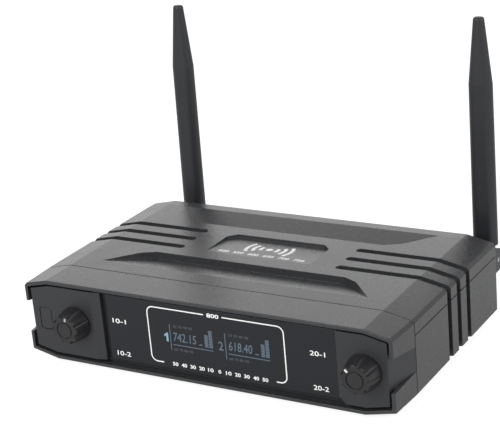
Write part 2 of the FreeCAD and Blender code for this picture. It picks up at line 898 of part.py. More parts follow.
def power_button():
    """The key cap, the rim that keeps it behind the pod's wall and the stem that pushes the plunger."""
    rim_y = pod_back_y + knob_gap
    cap = button_block(0, pod_face_y, rim_y + button_rim_thickness)
    face = [e for e in cap.Edges if all(abs(v.Y - pod_face_y) < 0.01 for v in e.Vertexes)]
    cap = cap.makeFillet(button_ease, face)
    rim = button_block(button_rim, rim_y, rim_y + button_rim_thickness)
    stem = centred_block(plunger_width, rim_y, switch_front_y - button_travel - plunger_gap)
    return fused([cap, rim, stem])


def centred_block(width, front, back):
    half = width / 2
    return box(button_x - half, button_x + half, front, back, middle_z - half, middle_z + half)


def switch_plunger():
    back_off = button_travel + plunger_gap
    return centred_block(plunger_width, switch_front_y - back_off, front_board_y - back_off)


def power_switch():
    socket = centred_block(plunger_width + 2 * plunger_gap, switch_front_y - 1, front_board_y)
    return centred_block(switch_width, switch_front_y, front_board_y).cut(socket)


# ---- Main board ----
def standoff_places():
    return [(side * standoff_x, y) for side in (-1, 1) for y in standoff_y]


def main_board():
    board = box(-board_half, board_half, board_front_y, board_back_y, board_bottom_z, board_top_z)
    for x, y in standoff_places():
        board = board.cut(along_z(screw_radius + screw_hole_gap, x, y, board_bottom_z - 1, board_top_z + 1))
    return board


def receiver_shield(side):
    left, right = sorted((side * (can_x - can_half_width), side * (can_x + can_half_width)))
    can = box(left, right, can_y, can_y + can_length, board_top_z, board_top_z + can_height)
    top = [e for e in can.Edges if all(abs(v.Z - board_top_z - can_height) < 0.01 for v in e.Vertexes)]
    can = can.makeFillet(can_wall / 2, top)
    hollow = box(
        left + can_wall,
        right - can_wall,
        can_y + can_wall,
        can_y + can_length - can_wall,
        board_top_z - 1,
        board_top_z + can_height - can_wall,
    )
    return can.cut(hollow)


def receiver_chip(side):
    x = side * can_x
    y = can_y + can_length / 2
    half = chip_size / 2
    return box(x - half, x + half, y - half, y + half, board_top_z, board_top_z + chip_height)


def audio_chips():
    half = audio_chip_width / 2
    front = audio_chip_y - audio_chip_length / 2
    back = audio_chip_y + audio_chip_length / 2
    chips = []
    for i in range(audio_chip_count):
        x = audio_chip_first_x + audio_chip_pitch * i
        chips.append(box(x - half, x + half, front, back, board_top_z, board_top_z + audio_chip_height))
    return Part.makeCompound(chips)


def capacitors():
    cans = []
    for i, radius in enumerate(capacitor_radii):
        x = capacitor_first_x + capacitor_pitch * i
        can = along_z(radius, x, capacitor_y, board_top_z, board_top_z + capacitor_slenderness * radius)
        top = [e for e in can.Edges if e.Closed and e.Vertexes[0].Z > board_top_z + radius]
        cans.append(can.makeFillet(capacitor_ease, top))
    return Part.makeCompound(cans)


def power_regulator():
    """A regulator that stands against a finned heat sink, near the power inlet."""
    x = inlet_x - sink_offset
    front = panel_front_y - sink_margin
    left = x - sink_width / 2
    top = board_top_z + sink_height
    base = box(left, x + sink_width / 2, front, front + sink_base, board_top_z, top)
    pitch = (sink_width - fin_thickness) / (fin_count - 1)
    fins = []
    for i in range(fin_count):
        fin_x = left + pitch * i
        fin_back = front + sink_base + fin_length
        fins.append(box(fin_x, fin_x + fin_thickness, front + sink_base / 2, fin_back, board_top_z, top))
    package = box(
        x - regulator_width / 2,
        x + regulator_width / 2,
        front - regulator_depth,
        front,
        board_top_z,
        board_top_z + regulator_height,
    )
    return fused([base, package] + fins)


def board_headers():
    half = header_width / 2
    front = box(
        -half,
        half,
        front_board_back_y,
        front_board_back_y + front_header_depth,
        front_header_low_z,
        front_header_low_z + front_header_height,
    )
    main = box(
        -half,
        half,
        main_header_front_y,
        main_header_front_y + main_header_depth,
        board_top_z,
        board_top_z + main_header_height,
    )
    return Part.makeCompound([front, main])


def front_ribbon():
    """The flat cable: straight back from the front header, one bend, straight down into the main header."""
    z = front_header_low_z + front_header_height / 2
    y = main_header_front_y + main_header_depth / 2
    side = ribbon_width / 2
    half = ribbon_thickness / 2
    bend_y = y - ribbon_bend
    bend_z = z - ribbon_bend
    back = box(-side, side, front_board_back_y + front_header_depth, bend_y, z - half, z + half)
    down = box(-side, side, y - half, y + half, board_top_z + main_header_height, bend_z)
    start = (-side, bend_y, bend_z)
    bend = rod(ribbon_bend + half, start, X, ribbon_width)
    bend = bend.cut(rod(ribbon_bend - half, start, X, ribbon_width))
    bend = bend.common(box(-side, side, bend_y, y + half, bend_z, z + half))
    return fused([back, bend, down])


# ---- Screws and feet ----
def screw(x, y, z, direction, length):
    """A pan-head screw whose head bears at the given place and whose shank runs on in the direction."""
    shank = rod(screw_radius, (x, y, z), direction, length)
    start = FreeCAD.Vector(x, y, z) - direction * screw_head_height
    head = Part.makeCylinder(screw_head_radius, screw_head_height, start, direction)
    slot = Part.makeCylinder(screw_slot_radius, screw_slot_depth, start, direction)
    return head.fuse(shank).removeSplitter().cut(slot)


def case_screws():
    seat = case_boss_split_z - case_boss_web
    length = case_boss_web + case_screw_bite
    return Part.makeCompound([screw(x, y, seat, Z, length) for x, y in boss_places()])


def board_screws():
    length = board_thickness + board_rise - screw_tip_gap
    return Part.makeCompound([screw(x, y, board_top_z, -Z, length) for x, y in standoff_places()])


def fascia_screws():
    seat = plate_back_y + ledge_thickness
    length = seat - pod_back_y - screw_tip_gap
    return Part.makeCompound([screw(x, seat, z, -Y, length) for x, z in lug_places()])


def front_board_screws():
    length = front_board_back_y - plate_front_y - 1
    return Part.makeCompound([screw(x, front_board_back_y, z, -Y, length) for x, z in post_places()])


def rubber_feet():
    feet = []
    for side in (-1, 1):
        for y in foot_y:
            foot = along_z(foot_radius, side * foot_x, y, -foot_rise, 0)
            low = [e for e in foot.Edges if e.Closed and e.Vertexes[0].Z < -foot_rise / 2]
            feet.append(foot.makeFillet(foot_ease, low))
    return Part.makeCompound(feet)


# ---- Rear sockets ----
def audio_socket():
    half = audio_body_width / 2
    mouth_y = panel_back_y + audio_bush_reach
    back_y = mouth_y - audio_bore_depth
    body = box(
        audio_x - half, audio_x + half, back_y - audio_body_back, panel_front_y, board_top_z, audio_z + half
    )
    bush = along_y(audio_bush_radius, audio_x, audio_z, panel_front_y - 1, mouth_y)
    rim = [e for e in bush.Edges if e.Closed and e.Vertexes[0].Y > mouth_y - 0.1]
    bush = bush.makeFillet(audio_bush_ease, rim)
    return fused([body, bush]).cut(along_y(audio_bore_radius, audio_x, audio_z, back_y, mouth_y + 1))


def audio_socket_nut():
    back = panel_back_y + audio_nut_thickness
    return hex_nut(audio_nut_flats, audio_x, audio_z, panel_back_y, back, audio_bush_radius + nut_gap)


def power_inlet():
    half = inlet_width / 2
    top = board_top_z + inlet_height
    body = box(inlet_x - half, inlet_x + half, panel_front_y - inlet_depth, panel_front_y, board_top_z, top)
    bore_front = panel_front_y - inlet_bore_depth
    return body.cut(along_y(inlet_bore_radius, inlet_x, inlet_z, bore_front, panel_front_y + 1))


def power_inlet_pin():
    back = panel_front_y - inlet_pin_recess
    return along_y(inlet_pin_radius, inlet_x, inlet_z, panel_front_y - inlet_bore_depth, back)


# ---- Antennas ----
def antenna_base(side):
    x = side * antenna_x
    stud = along_y(base_radius, x, middle_z, base_inner_y, panel_back_y + 1)
    flange = along_y(flange_radius, x, middle_z, panel_back_y, flange_back_y)
    spigot = along_y(spigot_radius, x, middle_z, flange_back_y - 1, flange_back_y + spigot_reach)
    return fused([stud, flange, spigot])


def antenna_nut(side):
    front = panel_front_y - antenna_nut_thickness
    bore = base_radius + nut_gap
    return hex_nut(antenna_nut_flats, side * antenna_x, middle_z, front, panel_front_y, bore)


def antenna_elbow(side):
    """The turning elbow: a barrel over the base's spigot and a fork that holds the hinge pin."""
    x = side * antenna_x
    front = flange_back_y + swivel_gap
    barrel = along_y(elbow_radius, x, middle_z, front, fork_root_y)
    rim = [e for e in barrel.Edges if e.Closed and e.Vertexes[0].Y < front + 0.1]
    barrel = barrel.makeFillet(elbow_ease, rim)
    fork = box(
        x - fork_half_width,
        x + fork_half_width,
        fork_root_y - elbow_radius / 2,
        antenna_y,
        middle_z - elbow_radius,
        middle_z + elbow_radius,
    )
    eye = rod(elbow_radius, (x - fork_half_width, antenna_y, middle_z), X, 2 * fork_half_width)
    elbow = fused([barrel, fork, eye])
    slot = box(
        x - fork_slot_half,
        x + fork_slot_half,
        fork_root_y,
        antenna_y + 2 * elbow_radius,
        middle_z - 2 * elbow_radius,
        middle_z + 2 * elbow_radius,
    )
    elbow = elbow.cut(slot)
    bore_back = flange_back_y + spigot_reach + swivel_gap
    elbow = elbow.cut(along_y(spigot_radius + running_gap, x, middle_z, front - 1, bore_back))
    start = (x - fork_half_width - 1, antenna_y, middle_z)
    return elbow.cut(rod(hinge_pin_radius, start, X, 2 * fork_half_width + 2))


def hinge_pin(side):
    start = (side * antenna_x - fork_half_width, antenna_y, middle_z)
    return rod(hinge_pin_radius, start, X, 2 * fork_half_width)


def blade_section(x, z, width, thickness):
    """A flat section with fully round edges."""
    radius = thickness / 2
    flat = width / 2 - radius
    front = antenna_y - radius
    back = antenna_y + radius
    left = FreeCAD.Vector(x - flat, front, z)
    right = FreeCAD.Vector(x + flat, front, z)
    right_back = FreeCAD.Vector(x + flat, back, z)
    left_back = FreeCAD.Vector(x - flat, back, z)
    right_end = FreeCAD.Vector(x + width / 2, antenna_y, z)
    left_end = FreeCAD.Vector(x - width / 2, antenna_y, z)
    edges = [
        Part.LineSegment(left, right).toShape(),
        Part.Arc(right, right_end, right_back).toShape(),
        Part.LineSegment(right_back, left_back).toShape(),
        Part.Arc(left_back, left_end, left).toShape(),
    ]
    return Part.Wire(edges)


def antenna_blade(side):
    x = side * antenna_x
    straight = Part.makeLoft(
        [
            blade_section(x, blade_shoulder_z, blade_width, blade_thickness),
            blade_section(x, blade_taper_z, blade_upper_width, blade_thickness),
        ],
        True,
        True,
    )
    taper = Part.makeLoft(
        [
            blade_section(x, blade_taper_z, blade_upper_width, blade_thickness),
            blade_section(x, blade_tip_z, blade_tip_width, blade_tip_thickness),
        ],
        True,
        True,
    )
    tip = [e for e in taper.Edges if all(v.Z > blade_tip_z - 0.01 for v in e.Vertexes)]
    taper = taper.makeFillet(blade_tip_round, tip)
    low = [e for e in straight.Edges if all(v.Z < blade_shoulder_z + 0.01 for v in e.Vertexes)]
    straight = straight.makeFillet(blade_ease, low)
    knuckle = rod(knuckle_radius, (x - knuckle_half_width, antenna_y, middle_z), X, 2 * knuckle_half_width)
    neck = box(
        x - knuckle_half_width,
        x + knuckle_half_width,
        antenna_y - blade_thickness / 2,
        antenna_y + blade_thickness / 2,
        middle_z,
        blade_shoulder_z + 1,
    )
    blade = fused([straight, taper, neck, knuckle])
    start = (x - knuckle_half_width - 1, antenna_y, middle_z)
    return blade.cut(rod(hinge_pin_radius + running_gap, start, X, 2 * knuckle_half_width + 2))


def leaned(shape, side, lean):
    """Part of an antenna, turned in its swivel by its lean from upright, in degrees."""
    turned = shape.copy()
    turned.rotate(FreeCAD.Vector(side * antenna_x, 0, middle_z), Y, lean)
    return turned


def antenna_lead(side):
    """The coaxial lead: straight in from the antenna's base, then down and across to the shield can."""
    base = FreeCAD.Vector(antenna_x, base_inner_y, middle_z)
    flank = FreeCAD.Vector(can_x + can_half_width, can_y + can_length / 2, board_top_z + can_height / 2)
    route = [
        base,
        base - Y * lead_straight,
        base - FreeCAD.Vector(*lead_first_step),
        flank + FreeCAD.Vector(*lead_last_step),
        flank + X * lead_entry,
        flank,
    ]
    path = rounded_path([(side * p.x, p.y, p.z) for p in route])
    start = FreeCAD.Vector(side * base.x, base.y, base.z)
    profile = Part.Wire(Part.makeCircle(lead_radius, start, Y))
    return path.makePipeShell([profile], True, False)


# ---- Writing ----
def write(name, shape):
    placed = shape.copy()
    placed.translate(shift)
    if not placed.isValid():
        raise RuntimeError(name + " is not a valid shape")
    placed.exportStep("parts/" + name + ".step")
    print(name, len(placed.Solids), round(placed.Volume))


def main():
    os.makedirs("parts", exist_ok=True)
    body = shell_body()
    write("top_cover", top_cover(body))
    write("bottom_shell", bottom_shell(body))
    write("front_bezel", front_bezel())
    write("rear_panel", rear_panel())
    write("front_fascia", front_fascia())
    write("display_window", display_window())
    write("display_module", display_module())
    write("front_board", front_board())
    write("indicator_leds", indicator_leds())
    write("power_button", power_button())
    write("switch_plunger", switch_plunger())
    write("power_switch", power_switch())
    for name, x, turn in zip(("left", "right"), knob_x, knob_turns):
        write("volume_knob_" + name, volume_knob(x, turn))
        write("pot_shaft_" + name, pot_shaft(x))
        write("potentiometer_" + name, potentiometer(x))
        write("pot_nut_" + name, pot_nut(x))
    write("main_board", main_board())
    write("audio_chips", audio_chips())
    write("capacitors", capacitors())
    write("power_regulator", power_regulator())
    write("board_headers", board_headers())
    write("front_ribbon", front_ribbon())
    write("case_screws", case_screws())
    write("board_screws", board_screws())
    write("fascia_screws", fascia_screws())
    write("front_board_screws", front_board_screws())
    write("rubber_feet", rubber_feet())
    write("audio_socket", audio_socket())
    write("audio_socket_nut", audio_socket_nut())
    write("power_inlet", power_inlet())
    write("power_inlet_pin", power_inlet_pin())
    for name, side, lean in zip(("left", "right"), (-1, 1), antenna_leans):
        write("receiver_shield_" + name, receiver_shield(side))
        write("receiver_chip_" + name, receiver_chip(side))
        write("antenna_base_" + name, antenna_base(side))
        write("antenna_nut_" + name, antenna_nut(side))
        write("antenna_elbow_" + name, leaned(antenna_elbow(side), side, lean))
        write("hinge_pin_" + name, leaned(hinge_pin(side), side, lean))
        write("antenna_blade_" + name, leaned(antenna_blade(side), side, lean))
        write("antenna_lead_" + name, antenna_lead(side))


main()
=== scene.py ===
import json
import math

import bpy
import bmesh
from bpy.props import FloatProperty, FloatVectorProperty, IntProperty, PointerProperty
from mathutils import Matrix, Vector
from mathutils.bvhtree import BVHTree


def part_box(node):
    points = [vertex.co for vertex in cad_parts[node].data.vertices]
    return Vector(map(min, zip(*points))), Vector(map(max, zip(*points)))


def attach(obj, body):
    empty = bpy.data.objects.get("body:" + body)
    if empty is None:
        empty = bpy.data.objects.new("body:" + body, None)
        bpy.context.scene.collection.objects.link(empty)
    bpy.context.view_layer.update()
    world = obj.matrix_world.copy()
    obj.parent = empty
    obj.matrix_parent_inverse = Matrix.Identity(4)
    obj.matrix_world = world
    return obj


bl_info = {
    "name": "Wireless receiver",
    "version": (1, 0, 0),
    "blender": (4, 5, 0),
    "location": "View3D > Sidebar > Receiver",
    "description": "Finishes, prints and a studio stage for a two-channel wireless receiver",
    "category": "Object",
}

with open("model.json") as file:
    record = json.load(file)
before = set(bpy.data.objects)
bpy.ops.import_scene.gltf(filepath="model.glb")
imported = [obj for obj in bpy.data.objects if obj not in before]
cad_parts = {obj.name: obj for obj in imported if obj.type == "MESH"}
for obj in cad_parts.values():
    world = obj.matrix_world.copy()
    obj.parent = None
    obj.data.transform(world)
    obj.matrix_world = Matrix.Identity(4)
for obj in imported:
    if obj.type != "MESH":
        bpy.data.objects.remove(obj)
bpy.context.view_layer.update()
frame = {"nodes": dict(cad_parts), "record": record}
NODES = frame["nodes"]

MM = 0.001
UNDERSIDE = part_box("bottom_shell")[0].z
WINDOW_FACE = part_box("display_window")[0].y
SIDES = ("left", "right")


# ---------------------------------------------------------------- settings
def length(name, description, default):
    return FloatProperty(name=name, description=description, default=default, unit="LENGTH", precision=5)


def colour(name, description, default):
    return FloatVectorProperty(
        name=name, description=description, default=default, size=3, subtype="COLOR", min=0.0, max=1.0
    )


def share(name, description, default):
    return FloatProperty(
        name=name, description=description, default=default, min=0.0, max=1.0, subtype="FACTOR"
    )


class ReceiverFinish(bpy.types.PropertyGroup):
    """Colours and roughnesses of the receiver's surfaces."""

    case: colour("Case", "Charcoal of the moulded case", (0.042, 0.043, 0.046))
    fascia: colour("End pods", "Charcoal of the front pods", (0.03, 0.031, 0.035))
    window: colour("Window", "Tint of the polished display window", (0.004, 0.0055, 0.0095))
    knob: colour("Knobs", "Black of the volume knobs", (0.017, 0.017, 0.019))
    antenna: colour("Antennas", "Soft black of the antennas", (0.021, 0.022, 0.026))
    panel: colour("Rear panel", "Black of the rear panel", (0.025, 0.025, 0.028))
    print_white: colour("Print", "White of the screen print", (0.88, 0.88, 0.87))
    screen: colour("Screen segments", "Steel blue of the display's segments", (0.1, 0.14, 0.185))
    screen_dim: colour("Dim segments", "Slate of the display's unlit small numbers", (0.09, 0.1, 0.12))
    screen_bright: colour("Channel number", "Light blue of the lit channel numbers", (0.22, 0.37, 0.46))
    board: colour("Circuit boards", "Green of the solder mask", (0.015, 0.11, 0.05))
    case_roughness: share("Case roughness", "Roughness of the moulded case", 0.28)
    grain_depth: length("Grain depth", "Depth of the moulded grain", 0.00011)
    corner_round: length("Corner round", "Radius that catches light along moulded edges", 0.00035)


class ReceiverPrint(bpy.types.PropertyGroup):
    """Places and sizes of the print. Heights are above the case's underside, widths from its middle."""

    ink: length("Ink thickness", "Thickness of a printed mark", 0.00005)
    outline_left: length("Outline left", "Left side of the display outline", -0.0305)
    outline_right: length("Outline right", "Right side of the display outline", 0.0463)
    outline_low: length("Outline low", "Low side of the display outline", 0.0075)
    outline_high: length("Outline high", "High side of the display outline", 0.037)
    outline_corner: length("Outline corner", "Corner radius of the display outline", 0.0034)
    outline_line: length("Outline line", "Line width of the display outline", 0.0006)
    first_channel: length("First channel", "Upright line beside the first channel's reading", -0.018)
    second_channel: length("Second channel", "Upright line beside the second channel's reading", 0.0136)
    digit_height: length("Digit height", "Height of the channel readings", 0.0047)
    bar_width: length("Bar width", "Width of one level bar", 0.002)
    bar_pitch: length("Bar pitch", "Distance between a level bar's segments", 0.00085)
    bar_steps: IntProperty(
        name="Bar steps", description="Segments in the taller level bar", default=11, min=3, max=30
    )
    mark_length: length("Index mark", "Length of a knob's index mark", 0.0018)
    mark_width: length("Index mark width", "Width of a knob's index mark", 0.0011)


class ReceiverStage(bpy.types.PropertyGroup):
    """The studio: where the camera stands and how it looks at the receiver."""

    camera_place: FloatVectorProperty(
        name="Camera place",
        description="Where the camera stands",
        default=(0.37244, -0.62122, 0.32843),
        size=3,
        subtype="TRANSLATION",
        unit="LENGTH",
    )
    yaw: FloatProperty(name="Yaw", description="Turn to the left", default=0.5498, subtype="ANGLE")
    pitch: FloatProperty(name="Pitch", description="Tilt upward", default=-0.3502, subtype="ANGLE")
    roll: FloatProperty(name="Roll", description="Lean", default=-0.0898, subtype="ANGLE")
    lens: FloatProperty(name="Lens", description="Focal length", default=108.12, subtype="DISTANCE_CAMERA")
    floor: colour("Floor", "Colour of the floor", (0.4, 0.4, 0.4))


# ---------------------------------------------------------------- node helpers
def new_group(name, inputs, outputs):
    """An empty shader group with its sockets; returns the tree and its two ends."""
    tree = bpy.data.node_groups.new(name, "ShaderNodeTree")
    for label, kind, value in inputs:
        socket = tree.interface.new_socket(label, in_out="INPUT", socket_type=kind)
        if value is not None:
            socket.default_value = value
    for label, kind in outputs:
        tree.interface.new_socket(label, in_out="OUTPUT", socket_type=kind)
    start = tree.nodes.new("NodeGroupInput")
    end = tree.nodes.new("NodeGroupOutput")
    return tree, start, end


def maths(tree, operation, first, second=None, clamp=False):
    node = tree.nodes.new("ShaderNodeMath")
    node.operation = operation
    node.use_clamp = clamp
    for socket, value in zip(node.inputs, (first, second)):
        feed(tree, socket, value)
    return node.outputs[0]


def feed(tree, socket, value):
    if value is None:
        return
    if isinstance(value, bpy.types.NodeSocket):
        tree.links.new(value, socket)
    else:
        socket.default_value = value


def noise(tree, vector, scale, detail=2.0, roughness=0.5):
    node = tree.nodes.new("ShaderNodeTexNoise")
    node.inputs["Detail"].default_value = detail
    node.inputs["Roughness"].default_value = roughness
    feed(tree, node.inputs["Vector"], vector)
    feed(tree, node.inputs["Scale"], scale)
    return node.outputs["Fac"]


def ramp(tree, value, low, high, start=0.0, end=1.0):
    node = tree.nodes.new("ShaderNodeMapRange")
    node.interpolation_type = "SMOOTHSTEP"
    for label, number in (("From Min", low), ("From Max", high), ("To Min", start), ("To Max", end)):
        feed(tree, node.inputs[label], number)
    feed(tree, node.inputs["Value"], value)
    return node.outputs["Result"]


def moulded_grain_group():
    """Fine pits of a spark-eroded mould, with slow changes of tone over a hand's width."""
    tree, start, end = new_group(
        "moulded_grain",
        [
            ("Vector", "NodeSocketVector", None),
            ("Scale", "NodeSocketFloat", 2200.0),
            ("Mottle", "NodeSocketFloat", 0.5),
            ("Speck", "NodeSocketFloat", 0.35),
        ],
        [("Height", "NodeSocketFloat"), ("Tone", "NodeSocketFloat"), ("Sheen", "NodeSocketFloat")],
    )
    vector = start.outputs["Vector"]
    fine = noise(tree, vector, start.outputs["Scale"], 2.0, 0.6)
    coarse = noise(tree, vector, maths(tree, "MULTIPLY", start.outputs["Scale"], 0.31), 1.0, 0.5)
    height = maths(tree, "ADD", maths(tree, "MULTIPLY", fine, 0.7), maths(tree, "MULTIPLY", coarse, 0.3))
    slow = noise(tree, vector, 21.0, 3.0, 0.55)
    swing = maths(tree, "MULTIPLY", maths(tree, "SUBTRACT", slow, 0.5), start.outputs["Mottle"])
    speck = maths(tree, "MULTIPLY", maths(tree, "SUBTRACT", fine, 0.5), start.outputs["Speck"])
    tone = maths(tree, "ADD", maths(tree, "ADD", swing, speck), 0.5, clamp=True)
    sheen = ramp(tree, noise(tree, vector, 55.0, 4.0, 0.6), 0.35, 0.7)
    tree.links.new(height, end.inputs["Height"])
    tree.links.new(tone, end.inputs["Tone"])
    tree.links.new(sheen, end.inputs["Sheen"])
    return tree


def settled_dust_group():
    """Sparse pale specks that lie on faces turned upward."""
    tree, start, end = new_group(
        "settled_dust",
        [("Vector", "NodeSocketVector", None), ("Amount", "NodeSocketFloat", 0.3)],
        [("Mask", "NodeSocketFloat")],
    )
    specks = ramp(tree, noise(tree, start.outputs["Vector"], 900.0, 1.0), 0.7, 0.78)
    drift = ramp(tree, noise(tree, start.outputs["Vector"], 16.0, 3.0), 0.4, 0.75)
    geometry = tree.nodes.new("ShaderNodeNewGeometry")
    split = tree.nodes.new("ShaderNodeSeparateXYZ")
    tree.links.new(geometry.outputs["Normal"], split.inputs[0])
    upward = ramp(tree, split.outputs["Z"], 0.55, 0.95)
    cover = maths(tree, "ADD", maths(tree, "MULTIPLY", specks, 0.6), maths(tree, "MULTIPLY", drift, 0.25))
    lying = maths(tree, "MULTIPLY", cover, upward)
    mask = maths(tree, "MULTIPLY", lying, start.outputs["Amount"], clamp=True)
    tree.links.new(mask, end.inputs["Mask"])
    return tree


def edge_wear_and_highlight_group():
    """Rounded-off normals along the edges, and a mask of the edges, patchy where wear has polished them, that
    is used to paint a highlight along them.
    """
    tree, start, end = new_group(
        "edge_wear_and_highlight",
        [("Vector", "NodeSocketVector", None), ("Radius", "NodeSocketFloat", 0.0004)],
        [("Mask", "NodeSocketFloat"), ("Normal", "NodeSocketVector")],
    )
    bevel = tree.nodes.new("ShaderNodeBevel")
    bevel.samples = 6
    tree.links.new(start.outputs["Radius"], bevel.inputs["Radius"])
    geometry = tree.nodes.new("ShaderNodeNewGeometry")
    dot = tree.nodes.new("ShaderNodeVectorMath")
    dot.operation = "DOT_PRODUCT"
    tree.links.new(bevel.outputs[0], dot.inputs[0])
    tree.links.new(geometry.outputs["Normal"], dot.inputs[1])
    edge = ramp(tree, dot.outputs["Value"], 0.995, 0.86)
    worn = ramp(tree, noise(tree, start.outputs["Vector"], 320.0, 3.0, 0.6), 0.38, 0.62)
    tree.links.new(maths(tree, "MULTIPLY", edge, worn), end.inputs["Mask"])
    tree.links.new(bevel.outputs[0], end.inputs["Normal"])
    return tree


GROUPS = {}


def group_node(tree, name):
    """A shader group placed in a material; each group is built once."""
    makers = {
        "moulded_grain": moulded_grain_group,
        "settled_dust": settled_dust_group,
        "edge_wear_and_highlight": edge_wear_and_highlight_group,
    }
    if name not in GROUPS:
        GROUPS[name] = makers[name]()
    node = tree.nodes.new("ShaderNodeGroup")
    node.node_tree = GROUPS[name]
    return node


def blank_material(name):
    material = bpy.data.materials.new(name)
    material.use_nodes = True
    return material, material.node_tree, material.node_tree.nodes["Principled BSDF"]


def mixed(tree, factor, first, second):
    node = tree.nodes.new("ShaderNodeMix")
    node.data_type = "RGBA"
    feed(tree, node.inputs[0], factor)
    feed(tree, node.inputs[6], first)
    feed(tree, node.inputs[7], second)
    return node.outputs[2]


def rgba(values, gain=1.0):
    return tuple(min(1.0, v * gain) for v in values[:3]) + (1.0,)


def object_coordinates(tree):
    return tree.nodes.new("ShaderNodeTexCoord").outputs["Object"]


def moulded_plastic(
    name, base, roughness, grain_scale, grain_depth, radius=0.0, dust=0.0, mottle=0.5, coat=0.0, speck=0.35
):
    """A moulded plastic: grain, slow tone, edges with a painted highlight that is patchy like wear and less
    rough, and a little dust.
    """
    material, tree, shader = blank_material(name)
    place = object_coordinates(tree)
    grain = group_node(tree, "moulded_grain")
    tree.links.new(place, grain.inputs["Vector"])
    grain.inputs["Scale"].default_value = grain_scale
    grain.inputs["Mottle"].default_value = mottle
    grain.inputs["Speck"].default_value = speck
    body = mixed(tree, grain.outputs["Tone"], rgba(base, 0.8), rgba(base, 1.2))
    rough = ramp(tree, grain.outputs["Sheen"], 0.0, 1.0, roughness - 0.012, roughness + 0.012)
    normal = None
    if radius:
        edge = group_node(tree, "edge_wear_and_highlight")
        tree.links.new(place, edge.inputs["Vector"])
        edge.inputs["Radius"].default_value = radius
        # Lighten the base colour along the edges: a painted highlight, patchy like wear; the edges' roughness
        # drops as well.
        body = mixed(tree, maths(tree, "MULTIPLY", edge.outputs["Mask"], 0.35), body, rgba(base, 1.9))
        rough = maths(tree, "SUBTRACT", rough, maths(tree, "MULTIPLY", edge.outputs["Mask"], 0.12))
        normal = edge.outputs["Normal"]
    if dust:
        lint = group_node(tree, "settled_dust")
        tree.links.new(place, lint.inputs["Vector"])
        lint.inputs["Amount"].default_value = dust
        body = mixed(tree, lint.outputs["Mask"], body, (0.42, 0.41, 0.39, 1.0))
        rough = maths(tree, "ADD", rough, maths(tree, "MULTIPLY", lint.outputs["Mask"], 0.3), clamp=True)
    bump = tree.nodes.new("ShaderNodeBump")
    bump.inputs["Strength"].default_value = 1.0
    bump.inputs["Distance"].default_value = grain_depth
    tree.links.new(grain.outputs["Height"], bump.inputs["Height"])
    if normal:
        tree.links.new(normal, bump.inputs["Normal"])
    tree.links.new(bump.outputs["Normal"], shader.inputs["Normal"])
    tree.links.new(body, shader.inputs["Base Color"])
    tree.links.new(rough, shader.inputs["Roughness"])
    shader.inputs["Coat Weight"].default_value = coat
    return material


def plated_metal(name, base, roughness, streak_scale, radius=0.0):
    """A plated or rolled metal, with drawn streaks and dulled patches."""
    material, tree, shader = blank_material(name)
    place = object_coordinates(tree)
    mapping = tree.nodes.new("ShaderNodeMapping")
    mapping.inputs["Scale"].default_value = (1.0, 0.08, 1.0)
    tree.links.new(place, mapping.inputs["Vector"])
    streak = noise(tree, mapping.outputs["Vector"], streak_scale, 3.0, 0.6)
    patch = noise(tree, place, 140.0, 4.0, 0.6)
    tone = mixed(tree, ramp(tree, patch, 0.35, 0.7), rgba(base, 0.82), rgba(base, 1.08))
    rough = ramp(tree, streak, 0.3, 0.7, max(0.05, roughness - 0.08), roughness + 0.1)
    bump = tree.nodes.new("ShaderNodeBump")
    bump.inputs["Distance"].default_value = 0.00001
    tree.links.new(streak, bump.inputs["Height"])
    if radius:
        edge = group_node(tree, "edge_wear_and_highlight")
        tree.links.new(place, edge.inputs["Vector"])
        edge.inputs["Radius"].default_value = radius
        tree.links.new(edge.outputs["Normal"], bump.inputs["Normal"])
    tree.links.new(bump.outputs["Normal"], shader.inputs["Normal"])
    tree.links.new(tone, shader.inputs["Base Color"])
    tree.links.new(rough, shader.inputs["Roughness"])
    shader.inputs["Metallic"].default_value = 1.0
    return material


def window_material(base):
    """Polished dark acrylic, with the faint haze that wiping leaves."""
    material, tree, shader = blank_material("window_acrylic")
    place = object_coordinates(tree)
    haze = ramp(tree, noise(tree, place, 38.0, 4.0, 0.6), 0.35, 0.75)
    wipes = tree.nodes.new("ShaderNodeMapping")
    wipes.inputs["Rotation"].default_value = (0.0, 0.4, 0.0)
    wipes.inputs["Scale"].default_value = (0.12, 1.0, 1.0)
    tree.links.new(place, wipes.inputs["Vector"])
    streak = noise(tree, wipes.outputs["Vector"], 700.0, 2.0)
    film = maths(tree, "MULTIPLY", haze, ramp(tree, streak, 0.4, 0.7))
    tree.links.new(mixed(tree, film, rgba(base), rgba(base, 1.25)), shader.inputs["Base Color"])
    tree.links.new(ramp(tree, film, 0.0, 1.0, 0.16, 0.24), shader.inputs["Roughness"])
    edge = group_node(tree, "edge_wear_and_highlight")
    tree.links.new(place, edge.inputs["Vector"])
    edge.inputs["Radius"].default_value = 0.0003
    tree.links.new(edge.outputs["Normal"], shader.inputs["Normal"])
    return material


def ink_material(name, base, glow=0.0):
    """Screen-print ink, or a lit display segment, with slightly uneven cover; glow on screen-print ink is a
    painted glow.
    """
    material, tree, shader = blank_material(name)
    place = object_coordinates(tree)
    cover = ramp(tree, noise(tree, place, 1600.0, 3.0, 0.6), 0.3, 0.6)
    tone = mixed(tree, cover, rgba(base, 0.86), rgba(base, 1.05))
    tree.links.new(tone, shader.inputs["Base Color"])
    shader.inputs["Roughness"].default_value = 0.55
    if glow:
        tree.links.new(tone, shader.inputs["Emission Color"])
        shader.inputs["Emission Strength"].default_value = glow
    return material


